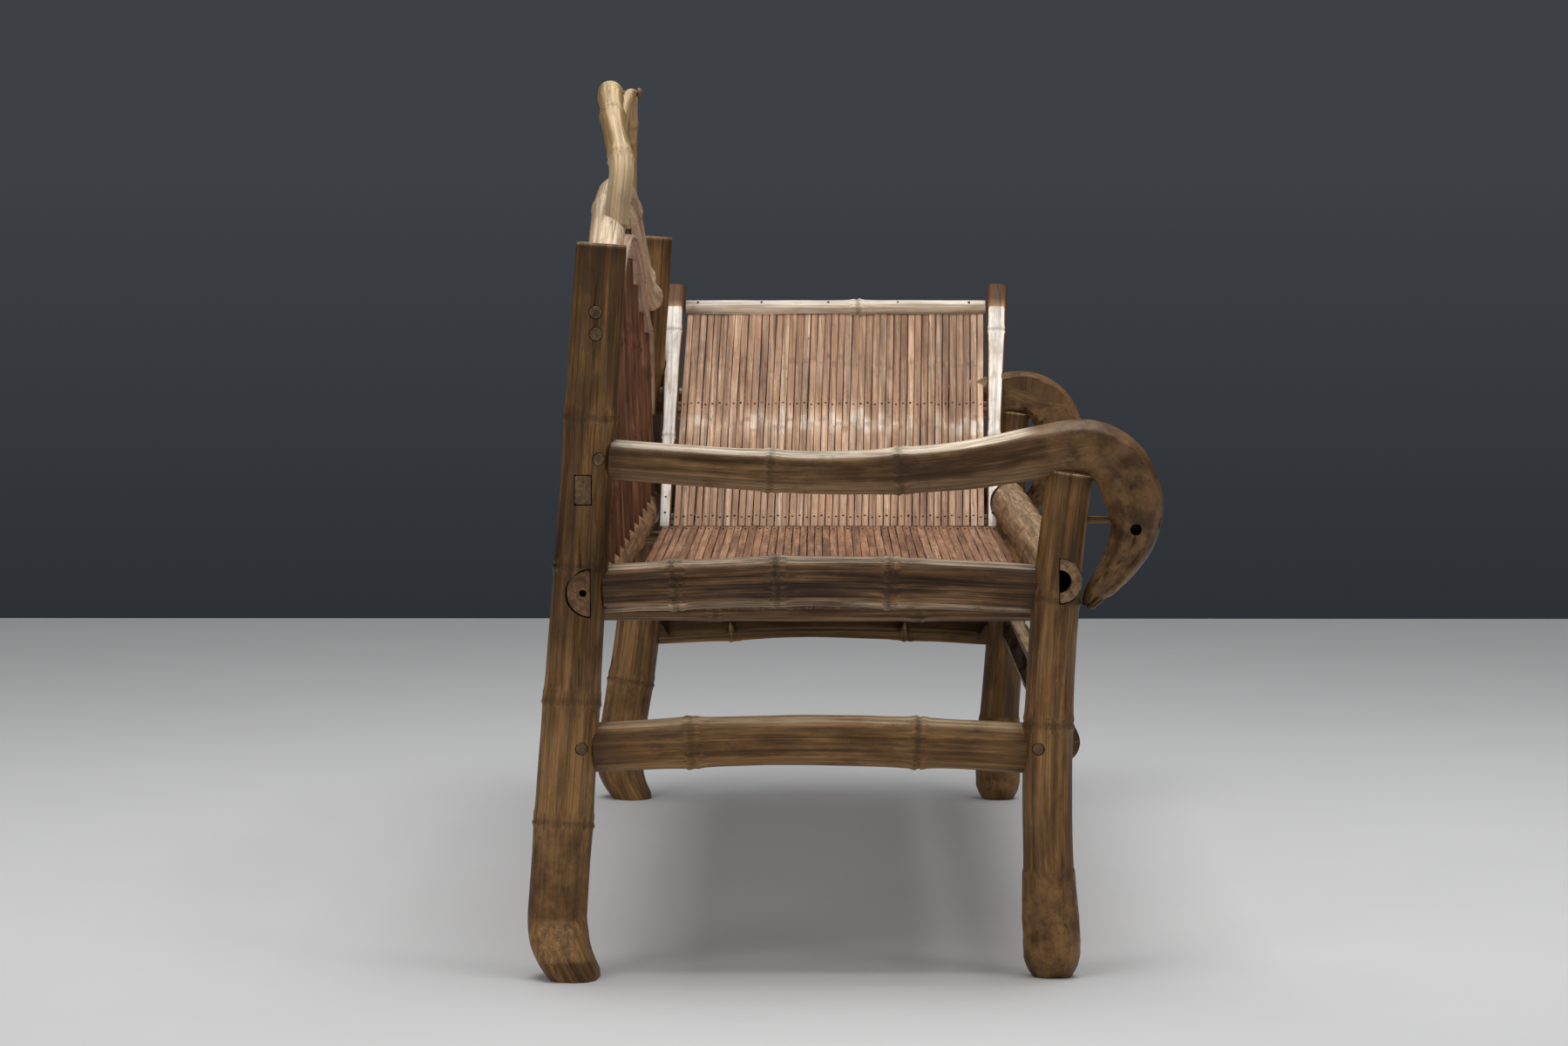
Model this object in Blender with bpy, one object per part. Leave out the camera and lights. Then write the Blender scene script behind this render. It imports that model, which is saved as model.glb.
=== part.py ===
"""Bamboo sofa bed: two end frames with scrolled root-end arms, long rails, a spindle back, a slatted
seat and a slatted headrest.

The length runs along X (foot end at -X, head end at +X), the front faces -Y and Z is up. Sizes are in metres.
"""

import math

import bmesh
import bpy
from mathutils import Vector

# Overall frame
FRAME_LENGTH = 1.80  # between the post axes of the two ends
CLEARANCE = 0.0004  # gap between any two pieces
BIG_SIDES = 8  # facets round a large culm
SMALL_SIDES = 6  # facets round a pole, spindle or peg
SECTION_TURN = math.radians(7)  # keeps the facets' ridges off the planes where culms meet
NODE_RISE = 0.0022  # how far a bamboo node stands proud
NODE_HALF_WIDTH = 0.009
CULM_WALL = 0.007
DIAPHRAGM = 0.005

# Rear posts
REAR_HEIGHT = 0.845
REAR_FLOOR_Y = 0.3385
REAR_LEAN = 0.0691  # forward travel of the axis for each metre of height
REAR_TOP_RADIUS = 0.0285
REAR_FOOT_RADIUS = 0.0350
TOE_HEIGHT = 0.075
TOE_REACH = 0.0275

# Front posts
FRONT_HEIGHT = 0.583
FRONT_WAIST_Y = -0.232
FRONT_WAIST_Z = 0.22
FRONT_TOP_FLARE = 0.026
FRONT_FOOT_FLARE = 0.008
FRONT_TOP_RADIUS = 0.0258
FRONT_WAIST_RADIUS = 0.0285
FRONT_BULB_RADIUS = 0.0322
FRONT_BULB_Z = 0.055

# The head end's legs were cut from more crooked culms
HEAD_LEG_BOW = 0.018
LEG_BOW_HEIGHT = 0.60

# Arms
ARM_Z = 0.5985
ARM_DIP = 0.0155
ARM_RADIUS = 0.0245
SCROLL_RADIUS = 0.0355
SCROLL_FACE = 0.024  # sawn inner face of the scroll, from the post axis

# End rails and stretchers, split culms with their hollow side inward
END_RAIL_Z = 0.4505
END_RAIL_RADIUS = 0.0255
STRETCHER_Z = 0.2655
STRETCHER_RADIUS = 0.0272
END_ARCH = 0.009
SPLIT_LIP = 0.0008  # a split culm keeps this much past its axis
SPLIT_INSET = 0.010  # split plane of an end rail, inward of the post axis
SHORT_TENON = 0.012
PEGGED_TENON = 0.027

# Long rails
FRONT_RAIL_Y = -0.2450
FRONT_RAIL_Z = 0.4585
FRONT_RAIL_RADIUS = 0.0255
REAR_RAIL_Y = 0.2940
REAR_RAIL_Z = 0.4445
REAR_RAIL_RADIUS = 0.0270
TENON_REACH = 0.0245  # a long rail's end, past the post axis
HOLLOW_RADIUS = 0.0130
HOLLOW_DEPTH = 0.070
FRONT_STRETCHER_RADIUS = 0.0262
FRONT_STRETCHER_Y = -0.2445
FRONT_STRETCHER_Z = 0.2690

# Back
LOWER_RAIL_Z = 0.563
LOWER_RAIL_RADIUS = 0.0205
LOWER_TENON_WIDTH = 0.0185
LOWER_TENON_HEIGHT = 0.0330
BACK_LIFT = 0.191  # top rail's ends above the lower rail
TOP_RAIL_RISE = 0.151
TOP_RAIL_RADIUS = 0.0225
BACK_BOW = 0.012
SPINDLE_COUNT = 10
SPINDLE_SPREAD = 0.815  # share of the length between the outer spindles
SPINDLE_RADIUS = 0.0085
SPINDLE_FOOT_Y = 0.281
SPINDLE_TENON = 0.011
ARCH_DROP = 0.304  # shares of the back lift
ARCH_CORNER = 0.576
ARCH_SIDE_GAP = 0.095  # from a rear post's axis to the arch's leg
ARCH_THICKNESS = 0.009
ARCH_WIDTH = 0.035

# Crest
CREST_SPAN = 0.70
CREST_APEX = 1.037
CREST_RADIUS = 0.0150
CREST_TIP_RADIUS = 0.0075
CREST_TWIST = 0.024  # how much further back the head-end limb stands
CREST_LEAN = 0.010
SLIM_SPAN = 0.44
SLIM_RADIUS = 0.0068
SLIM_GAP = 0.006
CREST_PEG_RADIUS = 0.0035
CREST_KNOB_RADIUS = 0.0070

# Seat
SEAT_TOP = 0.428
SLAT_COUNT = 46
SLAT_PITCH = 0.0105
SLAT_WIDTH = 0.0090
SLAT_THICKNESS = 0.0050
SLAT_MIDDLE_Y = 0.0165
SLAT_END_GAP = 0.034  # from the foot end's post axis to the slat ends
BEARER_COUNT = 3
BEARER_RADIUS = 0.0180
BEARER_OVERHANG = 0.012
BITE = 0.0006  # how far fused slats sink into their bearers

# Headrest
HEADREST_SETBACK = 0.285  # from the head end's post axis to the headrest's foot
HEADREST_SLOPE = math.radians(37)
HEADREST_SLAT_LENGTH = 0.522
STILE_LENGTH = 0.560
STILE_FOOT_RADIUS = 0.0090
STILE_TOP_RADIUS = 0.0175
STILE_SINK = 0.003  # stile axis below the slats' top plane
STILE_GAP = 0.0030  # between the outer slats and a stile
HEADREST_SLATS = 43
HEADREST_MIDDLE_Y = 0.0180  # at its foot
HEADREST_DRIFT = 0.0126  # how much further forward its top stands
CROSS_RADIUS = 0.0110
CROSS_SPOTS = (0.022, 0.281)  # along the slope
CROSS_TENON = 0.006
CAP_RADIUS = 0.0130

# Pegs
PEG_RADIUS = 0.0066
DOWEL_RADIUS = 0.0073
DOWEL_SPACING = 0.025
DOWEL_DEPTH = 0.026
PEG_INSET = 0.0165  # a peg's axis, inside the post's face
PEG_DEPTH = 0.014  # past the post axis
PEG_PROUD = 0.0012
PIN_RADIUS = 0.0042
PIN_Z = 0.528
PIN_SEAT = 0.008

END_X = FRAME_LENGTH / 2
HEADREST_FOOT_X = END_X - HEADREST_SETBACK
TOP_RAIL_Z = LOWER_RAIL_Z + BACK_LIFT
ENDS = (("foot", -1), ("head", 1))


# Scene and materials


def clear_scene():
    for obj in list(bpy.data.objects):
        bpy.data.objects.remove(obj, do_unlink=True)


def new_collection(name):
    made = bpy.data.collections.new(name)
    bpy.context.scene.collection.children.link(made)
    return made


clear_scene()
PARTS = new_collection("bamboo_sofa_bed")
CUTTERS = new_collection("cutters")
CUTTERS.hide_render = True
ROOT = bpy.data.objects.new("root", None)
PARTS.objects.link(ROOT)

AGED = (0.150, 0.085, 0.036, 1)
DARK = (0.105, 0.058, 0.024, 1)
HONEY = (0.420, 0.270, 0.130, 1)
PALE = (0.520, 0.380, 0.260, 1)
RED = (0.190, 0.075, 0.034, 1)


def finish(obj, colour, roughness=0.5):
    """Gives a part its own material and the root as its parent."""
    made = bpy.data.materials.new(obj.name)
    made.use_nodes = True
    shader = made.node_tree.nodes["Principled BSDF"]
    shader.inputs["Base Color"].default_value = colour
    shader.inputs["Roughness"].default_value = roughness
    obj.data.materials.clear()
    obj.data.materials.append(made)
    obj.data.shade_smooth()
    obj.data.set_sharp_from_angle(angle=math.radians(40))
    obj.parent = ROOT
    return obj


def as_cutter(obj):
    obj.hide_render = True
    obj.display_type = "WIRE"
    obj.parent = ROOT
    PARTS.objects.unlink(obj)
    CUTTERS.objects.link(obj)
    return obj


# Shape tools


def smooth(points, steps):
    """Points on a Catmull-Rom curve through the given (x, y, z, radius) points."""
    vectors = [Vector(p) for p in points]
    padded = [2 * vectors[0] - vectors[1], *vectors, 2 * vectors[-1] - vectors[-2]]
    found = []
    for a, b, c, d in zip(padded, padded[1:], padded[2:], padded[3:]):
        for i in range(steps):
            t = i / steps
            found.append(
                0.5 * (2 * b + t * (c - a) + t * t * (2 * a - 5 * b + 4 * c - d)
                       + t ** 3 * (3 * b - 3 * c + d - a))
            )
    return [*found, vectors[-1]]


def with_nodes(stations, spots):
    """Adds a raised bamboo node at each spot, given as a share of the length."""
    lengths = [0.0]
    for a, b in zip(stations, stations[1:]):
        lengths.append(lengths[-1] + (b.xyz - a.xyz).length)

    def at(distance):
        for i in range(len(stations) - 1):
            if distance <= lengths[i + 1]:
                break
        share = (distance - lengths[i]) / (lengths[i + 1] - lengths[i])
        return stations[i].lerp(stations[i + 1], share)

    rings = []
    for spot in spots:
        middle = spot * lengths[-1]
        for offset, rise in ((-1, 0), (0, NODE_RISE), (1, 0)):
            distance = middle + offset * NODE_HALF_WIDTH
            rings.append((distance, at(distance) + Vector((0, 0, 0, rise))))
    kept = [
        (distance, station)
        for distance, station in zip(lengths, stations)
        if all(abs(distance - ring) > NODE_HALF_WIDTH / 2 for ring, _ in rings)
    ]
    return [station for _, station in sorted(kept + rings, key=lambda pair: pair[0])]


def grown(stations, by=CLEARANCE):
    """The same tube, thicker and longer by a clearance."""
    ahead = (stations[0] - stations[1]).xyz.normalized() * by
    behind = (stations[-1] - stations[-2]).xyz.normalized() * by
    made = [station + Vector((0, 0, 0, by)) for station in stations]
    made[0] = made[0] + Vector((*ahead, 0))
    made[-1] = made[-1] + Vector((*behind, 0))
    return made


def to_mesh(curve):
    """The curve's evaluated shape as a mesh object with welded caps."""
    PARTS.objects.link(curve)
    evaluated = curve.evaluated_get(bpy.context.evaluated_depsgraph_get())
    mesh = bpy.data.meshes.new_from_object(evaluated)
    name = curve.name
    data = curve.data
    matrix = curve.matrix_world.copy()
    bpy.data.objects.remove(curve)
    bpy.data.curves.remove(data)
    mesh.name = name
    shape = bmesh.new()
    shape.from_mesh(mesh)
    bmesh.ops.remove_doubles(shape, verts=shape.verts, dist=1e-5)
    bmesh.ops.recalc_face_normals(shape, faces=shape.faces)
    shape.to_mesh(mesh)
    shape.free()
    made = bpy.data.objects.new(name, mesh)
    made.matrix_world = matrix
    PARTS.objects.link(made)
    return made


def tube(name, stations, sides=BIG_SIDES):
    """A round bar of changing radius along (x, y, z, radius) stations."""
    data = bpy.data.curves.new(name, "CURVE")
    data.dimensions = "3D"
    data.bevel_depth = 1.0
    data.bevel_resolution = (sides - 4) // 2
    data.use_fill_caps = True
    data.twist_mode = "MINIMUM"
    spline = data.splines.new("POLY")
    spline.points.add(len(stations) - 1)
    for point, station in zip(spline.points, stations):
        point.co = (*station.xyz, 1)
        point.radius = station.w
        point.tilt = SECTION_TURN
    return to_mesh(bpy.data.objects.new(name, data))


def slab(name, outline, width, middle):
    """A flat outline in the XZ plane, extruded along Y about the given middle."""
    data = bpy.data.curves.new(name, "CURVE")
    data.dimensions = "2D"
    data.fill_mode = "BOTH"
    data.extrude = width / 2
    spline = data.splines.new("POLY")
    spline.points.add(len(outline) - 1)
    for point, (x, z) in zip(spline.points, outline):
        point.co = (x, z, 0, 1)
    spline.use_cyclic_u = True
    curve = bpy.data.objects.new(name, data)
    curve.rotation_euler = (math.pi / 2, 0, 0)
    curve.location = (0, middle, 0)
    bpy.context.view_layer.update()
    return to_mesh(curve)


def box(name, low, high):
    low, high = Vector(low), Vector(high)
    shape = bmesh.new()
    bmesh.ops.create_cube(shape, size=1)
    bmesh.ops.scale(shape, vec=high - low, verts=shape.verts)
    bmesh.ops.translate(shape, vec=(low + high) / 2, verts=shape.verts)
    mesh = bpy.data.meshes.new(name)
    shape.to_mesh(mesh)
    shape.free()
    made = bpy.data.objects.new(name, mesh)
    PARTS.objects.link(made)
    return made


def boolean(target, other, operation="DIFFERENCE"):
    modifier = target.modifiers.new(other.name, "BOOLEAN")
    modifier.operation = operation
    modifier.object = other
    modifier.solver = "EXACT"
    modifier.use_self = False
    return target


def cut(target, *cutters):
    for cutter in cutters:
        boolean(target, cutter)
    return target


def joined(name, objects):
    """One object that holds the given objects' meshes."""
    shape = bmesh.new()
    for obj in objects:
        shape.from_mesh(obj.data)
    mesh = bpy.data.meshes.new(name)
    shape.to_mesh(mesh)
    shape.free()
    for obj in objects:
        bpy.data.objects.remove(obj)
    made = bpy.data.objects.new(name, mesh)
    PARTS.objects.link(made)
    return made


def line(start, end, radius, end_radius=None):
    return [Vector((*start, radius)), Vector((*end, end_radius or radius))]


# Where the posts stand


def leg_bow(side, z):
    """How far a head-end leg bows to the front at a height."""
    if side < 0 or not 0 < z < LEG_BOW_HEIGHT:
        return 0.0
    return -HEAD_LEG_BOW * math.sin(math.pi * z / LEG_BOW_HEIGHT) ** 2


def rear_y(side, z):
    toe = max(0.0, (TOE_HEIGHT - z) / TOE_HEIGHT)
    return REAR_FLOOR_Y - REAR_LEAN * z - TOE_REACH * toe ** 2 + leg_bow(side, z)


def rear_radius(z):
    return REAR_FOOT_RADIUS + (REAR_TOP_RADIUS - REAR_FOOT_RADIUS) * z / REAR_HEIGHT


def front_y(side, z):
    flare = FRONT_TOP_FLARE if z > FRONT_WAIST_Z else FRONT_FOOT_FLARE
    reach = FRONT_HEIGHT - FRONT_WAIST_Z if z > FRONT_WAIST_Z else FRONT_WAIST_Z
    return FRONT_WAIST_Y - flare * ((z - FRONT_WAIST_Z) / reach) ** 2 + leg_bow(side, z)


def front_radius(z):
    if z > FRONT_WAIST_Z:
        share = (z - FRONT_WAIST_Z) / (FRONT_HEIGHT - FRONT_WAIST_Z)
        return FRONT_WAIST_RADIUS + (FRONT_TOP_RADIUS - FRONT_WAIST_RADIUS) * share
    bulb = math.exp(-(((z - FRONT_BULB_Z) / FRONT_BULB_Z) ** 2))
    return FRONT_WAIST_RADIUS + (FRONT_BULB_RADIUS - FRONT_WAIST_RADIUS) * bulb


def post_stations(heights, side, axis, radius):
    return [Vector((side * END_X, axis(side, z), z, radius(z))) for z in heights]


def rear_post_stations(side):
    heights = [share * TOE_HEIGHT for share in (-0.4, -0.13, 0.16, 0.43, 0.73, 1.13)]
    heights += [share * REAR_HEIGHT for share in (0.24, 0.36, 0.50, 0.65, 0.83, 1)]
    return with_nodes(post_stations(heights, side, rear_y, rear_radius), (0.22, 0.40, 0.57, 0.77))


def front_post_stations(side):
    heights = [share * FRONT_BULB_Z for share in (-0.5, 0, 0.55, 1.1, 1.6, 2.4)]
    heights += [share * FRONT_HEIGHT for share in (0.38, 0.55, 0.72, 0.86, 1)]
    return with_nodes(post_stations(heights, side, front_y, front_radius), (0.26, 0.52, 0.76))


FLOOR = as_cutter(box("floor_cut", (-2, -1, -0.2), (2, 1, 0)))


# Routes of the rails, arms and poles


def end_member(side, z, rear_depth, front_depth, radius, grow=0.0):
    """Stations of a split culm between a rear and a front post."""
    x = side * (END_X - SPLIT_INSET)
    start = rear_y(side, z) - rear_radius(z) + rear_depth
    stop = front_y(side, z) + front_radius(z) - front_depth
    count = 5
    found = []
    for i in range(count + 1):
        share = i / count
        arch = END_ARCH * math.sin(math.pi * share)
        found.append(Vector((x, start + (stop - start) * share, z + arch, radius)))
    return grown(found, grow) if grow else found


def split_culm(name, stations, inward, spots, grow=0.0):
    """A culm split along its length: its hollow, with a diaphragm at each node, faces inward."""
    shape = tube(name, stations if grow else with_nodes(stations, spots))
    middle = sum((s.xyz for s in stations), Vector()) / len(stations)
    reach = max((s.xyz - middle).length for s in stations) + 0.1
    low = middle - Vector((reach, reach, reach))
    high = middle + Vector((reach, reach, reach))
    for axis in range(3):
        if abs(inward[axis]) > 0.5:
            plane = middle[axis] + (SPLIT_LIP + grow) * inward[axis]
            if inward[axis] > 0:
                low[axis] = plane
            else:
                high[axis] = plane
    boolean(shape, as_cutter(box(name + "_split", low, high)))
    if grow:
        return as_cutter(shape)
    bounds = [0.09, *spots, 0.91]
    length = (stations[-1].xyz - stations[0].xyz).length
    for i, (first, last) in enumerate(zip(bounds, bounds[1:])):
        gap = DIAPHRAGM / 2 / length
        cell = []
        for share in (first + gap, (first + last) / 2, last - gap):
            place = share * (len(stations) - 1)
            low_index = min(int(place), len(stations) - 2)
            spot = stations[low_index].lerp(stations[low_index + 1], place - low_index)
            spot.w = spot.w - CULM_WALL
            cell.append(spot)
        boolean(shape, as_cutter(tube(f"{name}_cell_{i}", cell)))
    return shape


# The scroll's axis from the front post's head on, as shares of its radius: depth, height and radius
SCROLL = (
    (0.99, 0.23, 0.90),
    (0.00, 0.38, 0.94),
    (-0.87, 0.30, 0.96),
    (-1.63, -0.27, 1.00),
    (-2.06, -1.23, 1.00),
    (-2.14, -1.96, 0.90),
    (-2.00, -2.66, 0.79),
    (-1.66, -3.32, 0.67),
    (-1.21, -3.94, 0.54),
    (-0.79, -4.42, 0.40),
    (-0.52, -4.82, 0.22),
)


def arm_stations(side):
    """An arm's culm from inside the rear post to the tip of its root-end scroll."""
    tail = rear_y(side, ARM_Z) - rear_radius(ARM_Z) + PEGGED_TENON
    neck = front_y(side, FRONT_HEIGHT)
    x = side * END_X
    points = [(x, tail, ARM_Z, ARM_RADIUS)]
    for share, dip, swell in ((0.295, 0.75, 1.00), (0.507, 1.00, 1.06), (0.752, 0.50, 1.18)):
        points.append((x, tail + (neck - tail) * share, ARM_Z - dip * ARM_DIP, swell * ARM_RADIUS))
    for depth, height, size in SCROLL:
        spot = (neck + depth * SCROLL_RADIUS, ARM_Z + height * SCROLL_RADIUS)
        points.append((x, *spot, size * SCROLL_RADIUS))
    return with_nodes(smooth(points, 2), (0.24, 0.41))


def top_rail_z(x):
    return TOP_RAIL_Z + TOP_RAIL_RISE * 0.5 * (1 + math.cos(2 * math.pi * x / FRAME_LENGTH))


def top_rail_y(x):
    return rear_y(-1, TOP_RAIL_Z) + BACK_BOW * (1 - (x / END_X) ** 2)


def top_rail_stations():
    count = 18
    found = []
    for i in range(count + 1):
        x = -END_X + FRAME_LENGTH * i / count
        found.append(Vector((x, top_rail_y(x), top_rail_z(x), TOP_RAIL_RADIUS)))
    return with_nodes(found, (0.14, 0.37, 0.63, 0.86))


def arch_path():
    """Centre line of the bent strip under the top rail, as (x, z)."""
    leg_x = END_X - ARCH_SIDE_GAP
    bend = ARCH_CORNER * BACK_LIFT
    drop = ARCH_DROP * BACK_LIFT
    shoulder = leg_x - bend
    foot_z = LOWER_RAIL_Z + 0.5 * LOWER_RAIL_RADIUS
    corner_z = top_rail_z(shoulder) - drop - bend
    half = [(leg_x, foot_z)]
    for i in range(6):
        angle = math.pi / 2 * i / 5
        half.append((shoulder + bend * math.cos(angle), corner_z + bend * math.sin(angle)))
    count = 7
    for i in range(1, count + 1):
        x = shoulder * (1 - i / count)
        half.append((x, top_rail_z(x) - drop))
    return [(-x, z) for x, z in half[:-1]] + half[::-1]


def arch_outline():
    path = [Vector(point) for point in arch_path()]
    outer, inner = [], []
    for i, point in enumerate(path):
        along = (path[min(i + 1, len(path) - 1)] - path[max(i - 1, 0)]).normalized()
        offset = Vector((-along.y, along.x)) * ARCH_THICKNESS / 2
        outer.append(point + offset)
        inner.append(point - offset)
    return [(p.x, p.y) for p in outer + inner[::-1]]


def spindle_x(index):
    return (index / (SPINDLE_COUNT - 1) - 0.5) * SPINDLE_SPREAD * FRAME_LENGTH


def spindle_stations(index):
    x = spindle_x(index)
    drop = math.sqrt(REAR_RAIL_RADIUS ** 2 - (REAR_RAIL_Y - SPINDLE_FOOT_Y) ** 2)
    foot = REAR_RAIL_Z + drop - SPINDLE_TENON
    head = top_rail_z(x) - TOP_RAIL_RADIUS + SPINDLE_TENON
    return line((x, SPINDLE_FOOT_Y, foot), (x, top_rail_y(x), head), SPINDLE_RADIUS)


def loop_stations(span, apex, radius, tip_radius, foot_y, apex_y, tip_y):
    """A bent pole that rises from the top rail, crosses the middle and comes down again."""
    half = span / 2
    foot_z = top_rail_z(half) + 0.35 * TOP_RAIL_RADIUS
    height = apex - foot_z
    middle = (radius + tip_radius) / 2
    points = [
        (-half, foot_y, foot_z, radius),
        (-0.97 * half, foot_y, foot_z + 0.42 * height, radius),
        (-0.66 * half, (foot_y + apex_y) / 2, foot_z + 0.84 * height, radius),
        (0, apex_y, apex, radius),
        (0.66 * half, (tip_y + apex_y) / 2, foot_z + 0.84 * height, radius),
        (0.97 * half, tip_y, foot_z + 0.42 * height, middle),
        (half, tip_y, foot_z, tip_radius),
    ]
    return smooth(points, 3)


def crest_stations():
    rail_y = top_rail_y(CREST_SPAN / 2)
    near, far = rail_y - CREST_TWIST / 2, rail_y + CREST_TWIST / 2
    apex_y = rail_y + CREST_LEAN
    return loop_stations(CREST_SPAN, CREST_APEX, CREST_RADIUS, CREST_TIP_RADIUS, near, apex_y, far)


def slim_stations():
    apex_y = top_rail_y(CREST_SPAN / 2) + CREST_LEAN - CREST_RADIUS - SLIM_RADIUS - SLIM_GAP
    foot_y = top_rail_y(SLIM_SPAN / 2) - 0.5 * TOP_RAIL_RADIUS
    return loop_stations(SLIM_SPAN, CREST_APEX, SLIM_RADIUS, SLIM_RADIUS, foot_y, apex_y, foot_y)


# Headrest frame: s runs up the slope, h stands out of its top face
SLOPE = Vector((math.cos(HEADREST_SLOPE), 0, math.sin(HEADREST_SLOPE)))
OUT = Vector((-math.sin(HEADREST_SLOPE), 0, math.cos(HEADREST_SLOPE)))
SEAT_FIELD = (SLAT_COUNT - 1) * SLAT_PITCH + SLAT_WIDTH
HEADREST_FIELD = (HEADREST_SLATS - 1) * SLAT_PITCH + SLAT_WIDTH


def on_headrest(s, y, h):
    return Vector((HEADREST_FOOT_X, y, SEAT_TOP)) + s * SLOPE + h * OUT


def headrest_middle(s):
    return HEADREST_MIDDLE_Y - HEADREST_DRIFT * s / STILE_LENGTH


def stile_end(side, s, radius):
    """Station of a stile's axis at a place up the slope. side is -1 for the front one."""
    y = headrest_middle(s) + side * (HEADREST_FIELD / 2 + STILE_GAP + radius)
    return on_headrest(s, y, -STILE_SINK)


def stile_stations(side):
    start = stile_end(side, -2 * STILE_FOOT_RADIUS, STILE_FOOT_RADIUS)
    stop = stile_end(side, STILE_LENGTH, STILE_TOP_RADIUS)
    return with_nodes(line(start, stop, STILE_FOOT_RADIUS, STILE_TOP_RADIUS), (0.45,))


def half_round(name, s, h, radius, up, reach, grow=0.0):
    """A half-round strip across the headrest. up is 1 with its flat side down, -1 with it up."""
    count = 8
    outline = []
    for i in range(count + 1):
        angle = math.pi * i / count
        spot = on_headrest(s, 0, h - up * grow)
        spot += (radius + grow) * (math.cos(angle) * SLOPE + up * math.sin(angle) * OUT)
        outline.append((spot.x, spot.z))
    return slab(name, outline, 2 * (reach + grow), headrest_middle(s))


# Long rails


def long_rail(name, y, z, radius, outer, spots, colour):
    """A culm whose outer half, on the outer side of Y, runs on through both posts as a D-shaped tenon."""
    end = END_X + TENON_REACH
    rail = tube(name, with_nodes(line((-end, y, z), (end, y, z), radius), spots))
    for end_name, side in ENDS:
        axis = front_radius(z) if outer < 0 else rear_radius(z)
        shoulder = END_X - axis - NODE_RISE - CLEARANCE
        xs = sorted((side * shoulder, side * (end + 0.1)))
        ys = sorted((y, y - outer * 0.1))
        cheek = box(f"{name}_{end_name}_cheek", (xs[0], ys[0], z - 0.1), (xs[1], ys[1], z + 0.1))
        cut(rail, as_cutter(cheek))
        hollow = line((side * (end + 0.01), y, z), (side * (end - HOLLOW_DEPTH), y, z), HOLLOW_RADIUS)
        cut(rail, as_cutter(tube(f"{name}_{end_name}_hollow", hollow)))
    return finish(rail, colour)


def rail_mortise(name, y, z, radius, outer):
    """Cutter for both D-shaped mortises of a long rail."""
    end = END_X + TENON_REACH + 0.1
    shape = tube(name, line((-end, y, z), (end, y, z), radius + CLEARANCE))
    edge = y - outer * CLEARANCE
    ys = sorted((edge, edge - outer * 0.1))
    cut(shape, as_cutter(box(name + "_cheek", (-end - 0.1, ys[0], z - 0.1), (end + 0.1, ys[1], z + 0.1))))
    return as_cutter(shape)


def make_long_rails():
    front_spots = (0.10, 0.22, 0.35, 0.49, 0.63, 0.77, 0.90)
    front = long_rail(
        "front_seat_rail", FRONT_RAIL_Y, FRONT_RAIL_Z, FRONT_RAIL_RADIUS, -1, front_spots, HONEY
    )
    rear_spots = (0.09, 0.25, 0.42, 0.59, 0.76, 0.91)
    rear = long_rail("rear_seat_rail", REAR_RAIL_Y, REAR_RAIL_Z, REAR_RAIL_RADIUS, 1, rear_spots, AGED)
    return front, rear


# End frames


def peg(name, x_outer, x_inner, y, z, radius):
    """A peg along X and the cutter for its hole."""
    route = line((x_outer, y, z), (x_inner, y, z), radius)
    hole = as_cutter(tube(name + "_hole", grown(route), SMALL_SIDES))
    return finish(tube(name, route, SMALL_SIDES), PALE), hole


def frame_pegs(end_name, side):
    """The pegs of one end frame, as {name: hole}."""
    holes = {}
    for label, z, axis, radius, inward in (
        ("arm_peg", ARM_Z, rear_y, rear_radius, -1),
        ("rear_stretcher_peg", STRETCHER_Z, rear_y, rear_radius, -1),
        ("front_stretcher_peg", STRETCHER_Z, front_y, front_radius, 1),
    ):
        offset = radius(z) - PEG_INSET
        face = math.sqrt(radius(z) ** 2 - offset ** 2) + PEG_PROUD
        y = axis(side, z) + inward * offset
        name = f"{end_name}_{label}"
        _, holes[label] = peg(name, side * (END_X + face), side * (END_X - PEG_DEPTH), y, z, PEG_RADIUS)
    for label, sign in (("upper_dowel", 1), ("lower_dowel", -1)):
        z = TOP_RAIL_Z + sign * DOWEL_SPACING / 2
        y = top_rail_y(END_X)
        outer = END_X + rear_radius(z) + PEG_PROUD
        inner = END_X - rear_radius(z) - DOWEL_DEPTH
        _, holes[label] = peg(f"{end_name}_{label}", side * outer, side * inner, y, z, DOWEL_RADIUS)
    return holes


def scroll_pin(end_name, side):
    """The thin stick that steadies the scroll against the front post."""
    start = front_y(side, PIN_Z) - front_radius(PIN_Z) + PIN_SEAT
    scroll = min(arm_stations(side), key=lambda s: abs(s.z - PIN_Z) + abs(s.y - start + 0.07))
    stop = scroll.y + scroll.w - PIN_SEAT
    route = line((side * END_X, start, PIN_Z), (side * END_X, stop, PIN_Z), PIN_RADIUS)
    hole = as_cutter(tube(f"{end_name}_scroll_pin_hole", grown(route), SMALL_SIDES))
    finish(tube(f"{end_name}_scroll_pin", route, SMALL_SIDES), AGED)
    return hole


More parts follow.
